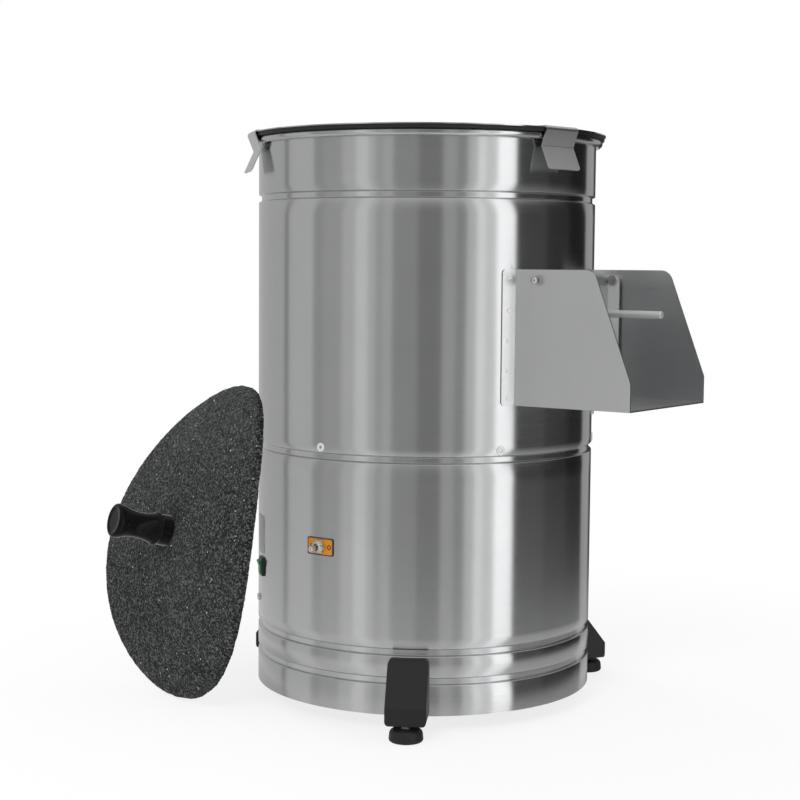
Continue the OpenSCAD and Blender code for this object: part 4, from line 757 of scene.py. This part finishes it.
def ringStrip(outer, inner, bearing, height, low, high):
    verts = []
    for r in (low, high):
        for loop in (outer, inner):
            for x, y in loop:
                verts.append(polar(bearing + math.degrees(x / low), r, height + y))
    n, faces = len(outer), []
    for j in range(n):
        k = (j + 1) % n
        faces += [(j, k, n + k, n + j), (2 * n + j, 3 * n + j, 3 * n + k, 2 * n + k),
                  (j, 2 * n + j, 2 * n + k, k), (n + j, n + k, 3 * n + k, 3 * n + j)]
    return verts, faces


def finely(outline, step=1.5):
    out = []
    for a, b in zip(outline, outline[1:] + outline[:1]):
        count = max(1, round(math.dist(a, b) / step))
        out += [(a[0] + (b[0] - a[0]) * i / count, a[1] + (b[1] - a[1]) * i / count) for i in range(count)]
    return out


def makeMarks():
    ink = slotMaterials["dark_plastic"]
    at, tall, low = marks["plateBearing"], marks["plateHeight"], marks["raise"]
    high, b = low + marks["ink"], marks["border"]
    w, h = marks["plateWidth"], marks["plateTall"]
    outer = finely(rounded(w, h, marks["corner"], 2))
    inner = [(x * (1 - 2 * b / w), y * (1 - 2 * b / h)) for x, y in outer]
    addPiece("plateBorder", *ringStrip(outer, inner, at, tall, marks["edge"], high), "machine", ink,
             "dark_plastic")
    left, right, half = marks["barLeft"], marks["barRight"], marks["barHalf"]
    bar = [(left, -half), (right, -half), (right, half), (left, half)]
    addPiece("plateMarkOn", *onDrum(bar, at, tall, low, high), "machine", ink, "dark_plastic")
    big, small = (arc(marks["ringAt"], 0, marks[r], 0, 345, 23) for r in ("ringOuter", "ringInner"))
    addPiece("plateMarkOff", *ringStrip(big, small, at, tall, low, high), "machine", ink, "dark_plastic")


makeMarks()
print("switch marks made")


# Floor and studio. The stage isn't part of the object.
stage = {
    "size": 14.0, "near": 0.35, "far": 0.95, "white": 0.94, "lift": 0.80, "mirrored": 0.38, "mirrorEnd": 0.95,
}


def makeFloor():
    bpy.ops.mesh.primitive_plane_add(size=stage["size"])
    floor = bpy.context.object
    floor.name = "studioFloor"
    material, tree, shader = startMaterial("paleFloor", Roughness=0.75, Specular_IOR_Level=0.2)
    white = stage["white"]
    shader.inputs["Base Color"].default_value = (white, white, white, 1)
    glow = addNode(tree, "ShaderNodeEmission", {"Color": (1, 1, 1, 1), "Strength": 1.0})
    where = addNode(tree, "ShaderNodeTexCoord")
    flat = addNode(tree, "ShaderNodeVectorMath", operation="MULTIPLY")
    flat.inputs[1].default_value = (1, 1, 0)
    reach = addNode(tree, "ShaderNodeVectorMath", operation="LENGTH")
    tree.links.new(where.outputs["Object"], flat.inputs[0])
    tree.links.new(flat.outputs[0], reach.inputs[0])
    # in the camera's view the floor brightens to plain white away from the machine
    fade = mapRange(tree, reach.outputs["Value"], stage["lift"], 1.0, stage["near"], stage["far"],
                    interpolation_type="SMOOTHSTEP")
    seen = addNode(tree, "ShaderNodeLightPath")
    both = addNode(tree, "ShaderNodeMath", operation="MULTIPLY")
    tree.links.new(fade, both.inputs[0])
    tree.links.new(seen.outputs["Is Camera Ray"], both.inputs[1])
    mix = addNode(tree, "ShaderNodeMixShader")
    tree.links.new(both.outputs[0], mix.inputs[0])
    tree.links.new(shader.outputs[0], mix.inputs[1])
    tree.links.new(glow.outputs[0], mix.inputs[2])
    # polished steel mirrors only the floor round its foot, and that dimly
    dim = mapRange(tree, reach.outputs["Value"], 1 - stage["mirrored"], 1.0, stage["near"],
                   stage["mirrorEnd"])
    gone = addNode(tree, "ShaderNodeMath", operation="MULTIPLY")
    tree.links.new(dim, gone.inputs[0])
    tree.links.new(seen.outputs["Is Glossy Ray"], gone.inputs[1])
    clear = addNode(tree, "ShaderNodeBsdfTransparent")
    shown = addNode(tree, "ShaderNodeMixShader")
    tree.links.new(gone.outputs[0], shown.inputs[0])
    tree.links.new(mix.outputs[0], shown.inputs[1])
    tree.links.new(clear.outputs[0], shown.inputs[2])
    tree.links.new(shown.outputs[0], tree.nodes["Material Output"].inputs[0])
    floor.data.materials.append(material)


makeFloor()

# What bare metal reflects: white softboxes and dark flags round the studio, each from its bearing on.
# The flags and boxes run from floor to ceiling, so they show as upright bands on the drum.
studio = {
    "cards": (
        (-180, 0.38), (-168, 0.05), (-150, 0.50), (-76, 0.28), (-71, 0.56), (-46, 0.36), (-38, 0.42),
        (-23, 0.56), (-13, 0.74), (-4, 0.56), (1, 0.42), (6, 0.50), (13, 0.32), (30, 0.22), (46, 0.42),
        (55, 0.31), (62, 0.62), (69, 1.00), (75, 0.80), (83, 1.50), (97, 0.06), (124, 0.03), (148, 0.012),
        (172, 0.38),
    ),
    "blend": 1.1, "diffuse": 0.70,
    # ceiling, lower wall and floor: the level, and the heights between which it comes in
    "heights": ((0.6, 0.38, 0.68), (0.24, -0.10, -0.45), (0.5, -0.5, -0.85)),
}


def cardRamp(tree, angle, start):
    # the levels of half a turn from the bearing start on, each edge a few degrees wide
    share = mapRange(tree, angle, 0.0, 1.0, math.radians(start), math.radians(start + 180))
    ramp = addNode(tree, "ShaderNodeValToRGB")
    stops, blend, now = ramp.color_ramp.elements, studio["blend"], studio["cards"][-1][1]
    levels = []
    for bearing, level in studio["cards"]:
        if start < bearing < start + 180:
            levels += [(bearing - blend, now), (bearing + blend, level)]
        elif bearing <= start:
            levels = [(start, level)]
        now = level
    while len(stops) < len(levels):
        stops.new(0.5)
    for stop, (bearing, level) in zip(stops, levels):
        stop.position = (bearing - start) / 180
        stop.color = (level, level, level, 1)
    tree.links.new(share, ramp.inputs[0])
    return ramp.outputs[0]


def makeWorld():
    world = bpy.data.worlds.new("studio")
    bpy.context.scene.world = world
    world.use_nodes = True
    tree = world.node_tree
    links = tree.links
    background = tree.nodes["Background"]
    where = addNode(tree, "ShaderNodeTexCoord")
    parts = addNode(tree, "ShaderNodeSeparateXYZ")
    links.new(where.outputs["Generated"], parts.inputs[0])
    flip = addNode(tree, "ShaderNodeMath", {1: -1.0}, operation="MULTIPLY")
    links.new(parts.outputs[1], flip.inputs[0])
    angle = addNode(tree, "ShaderNodeMath", operation="ARCTAN2")
    links.new(parts.outputs[0], angle.inputs[0])
    links.new(flip.outputs[0], angle.inputs[1])
    positive = addNode(tree, "ShaderNodeMath", {1: 0.0}, operation="GREATER_THAN")
    links.new(angle.outputs[0], positive.inputs[0])
    around = addNode(tree, "ShaderNodeMix", data_type="RGBA")
    links.new(positive.outputs[0], around.inputs[0])
    links.new(cardRamp(tree, angle.outputs[0], -180), around.inputs[6])
    links.new(cardRamp(tree, angle.outputs[0], 0), around.inputs[7])
    # the ceiling and the floor lighten what the flags leave dark
    last = around.outputs[2]
    for level, start, end in studio["heights"]:
        share = mapRange(tree, parts.outputs[2], 0.0, 1.0, start, end, interpolation_type="SMOOTHSTEP")
        lit = addNode(tree, "ShaderNodeMix", data_type="RGBA", blend_type="LIGHTEN")
        lit.inputs[7].default_value = (level, level, level, 1)
        links.new(share, lit.inputs[0])
        links.new(last, lit.inputs[6])
        last = lit.outputs[2]
    rays = addNode(tree, "ShaderNodeLightPath")
    shiny = addNode(tree, "ShaderNodeMix", data_type="RGBA")
    shiny.inputs[6].default_value = (studio["diffuse"],) * 3 + (1,)
    links.new(rays.outputs["Is Glossy Ray"], shiny.inputs[0])
    links.new(last, shiny.inputs[7])
    plain = addNode(tree, "ShaderNodeMath", operation="MAXIMUM")
    links.new(rays.outputs["Is Camera Ray"], plain.inputs[0])
    links.new(rays.outputs["Is Transmission Ray"], plain.inputs[1])
    final = addNode(tree, "ShaderNodeMix", data_type="RGBA")
    final.inputs[7].default_value = (1, 1, 1, 1)
    links.new(plain.outputs[0], final.inputs[0])
    links.new(shiny.outputs[2], final.inputs[6])
    links.new(final.outputs[2], background.inputs[0])


makeWorld()


# Soft lamps, all aimed at the middle of the machine. Shiny faces don't show them, because the studio's
# cards stand for them there.
aimHeight = 0.3
lamps = (
    {"name": "keyLamp", "bearing": 17.0, "distance": 2.6, "height": 1.9, "size": 0.9, "power": 38.0},
    {"name": "fillLamp", "bearing": 105.0, "distance": 2.8, "height": 1.6, "size": 1.8, "power": 9.0},
    {"name": "sideLamp", "bearing": -104.0, "distance": 2.4, "height": 0.8, "size": 0.9, "power": 24.0},
)


def makeLamps():
    for lamp in lamps:
        data = bpy.data.lights.new(lamp["name"], "AREA")
        data.size, data.energy = lamp["size"], lamp["power"]
        item = bpy.data.objects.new(lamp["name"], data)
        bpy.context.scene.collection.objects.link(item)
        item.location = polar(lamp["bearing"], lamp["distance"], lamp["height"])
        aim = Vector((0, 0, aimHeight)) - item.location
        item.rotation_euler = aim.to_track_quat("-Z", "Y").to_euler()
        item.visible_glossy = False


makeLamps()


# The camera stands a little left of the switches' side, level with the chute
view = {
    "bearing": 35.285, "distance": 1911.5, "height": 490.0, "pitch": 0.0808, "yaw": -0.01503,
    "roll": 0.00797, "lens": 75.25, "sensor": 36.0,
}


def makeCamera():
    data = bpy.data.cameras.new("camera")
    camera = bpy.data.objects.new("camera", data)
    bpy.context.scene.collection.objects.link(camera)
    data.lens, data.sensor_width = view["lens"], view["sensor"]
    yaw, pitch, roll = view["yaw"], view["pitch"], view["roll"]
    right = Vector((math.cos(yaw), -math.sin(yaw), 0))
    up = Vector((math.sin(pitch) * math.sin(yaw), math.sin(pitch) * math.cos(yaw), math.cos(pitch)))
    x = math.cos(roll) * right + math.sin(roll) * up
    y = math.cos(roll) * up - math.sin(roll) * right
    axes = Matrix((x, y, x.cross(y))).transposed()
    turn = Matrix.Rotation(math.radians(view["bearing"]), 3, "Z")
    place = polar(view["bearing"], view["distance"], view["height"]) * mm
    camera.matrix_world = Matrix.Translation(place) @ (turn @ axes).to_4x4()
    bpy.context.scene.camera = camera


makeCamera()
bpy.context.scene.view_settings.view_transform = "Standard"
print("studio made")
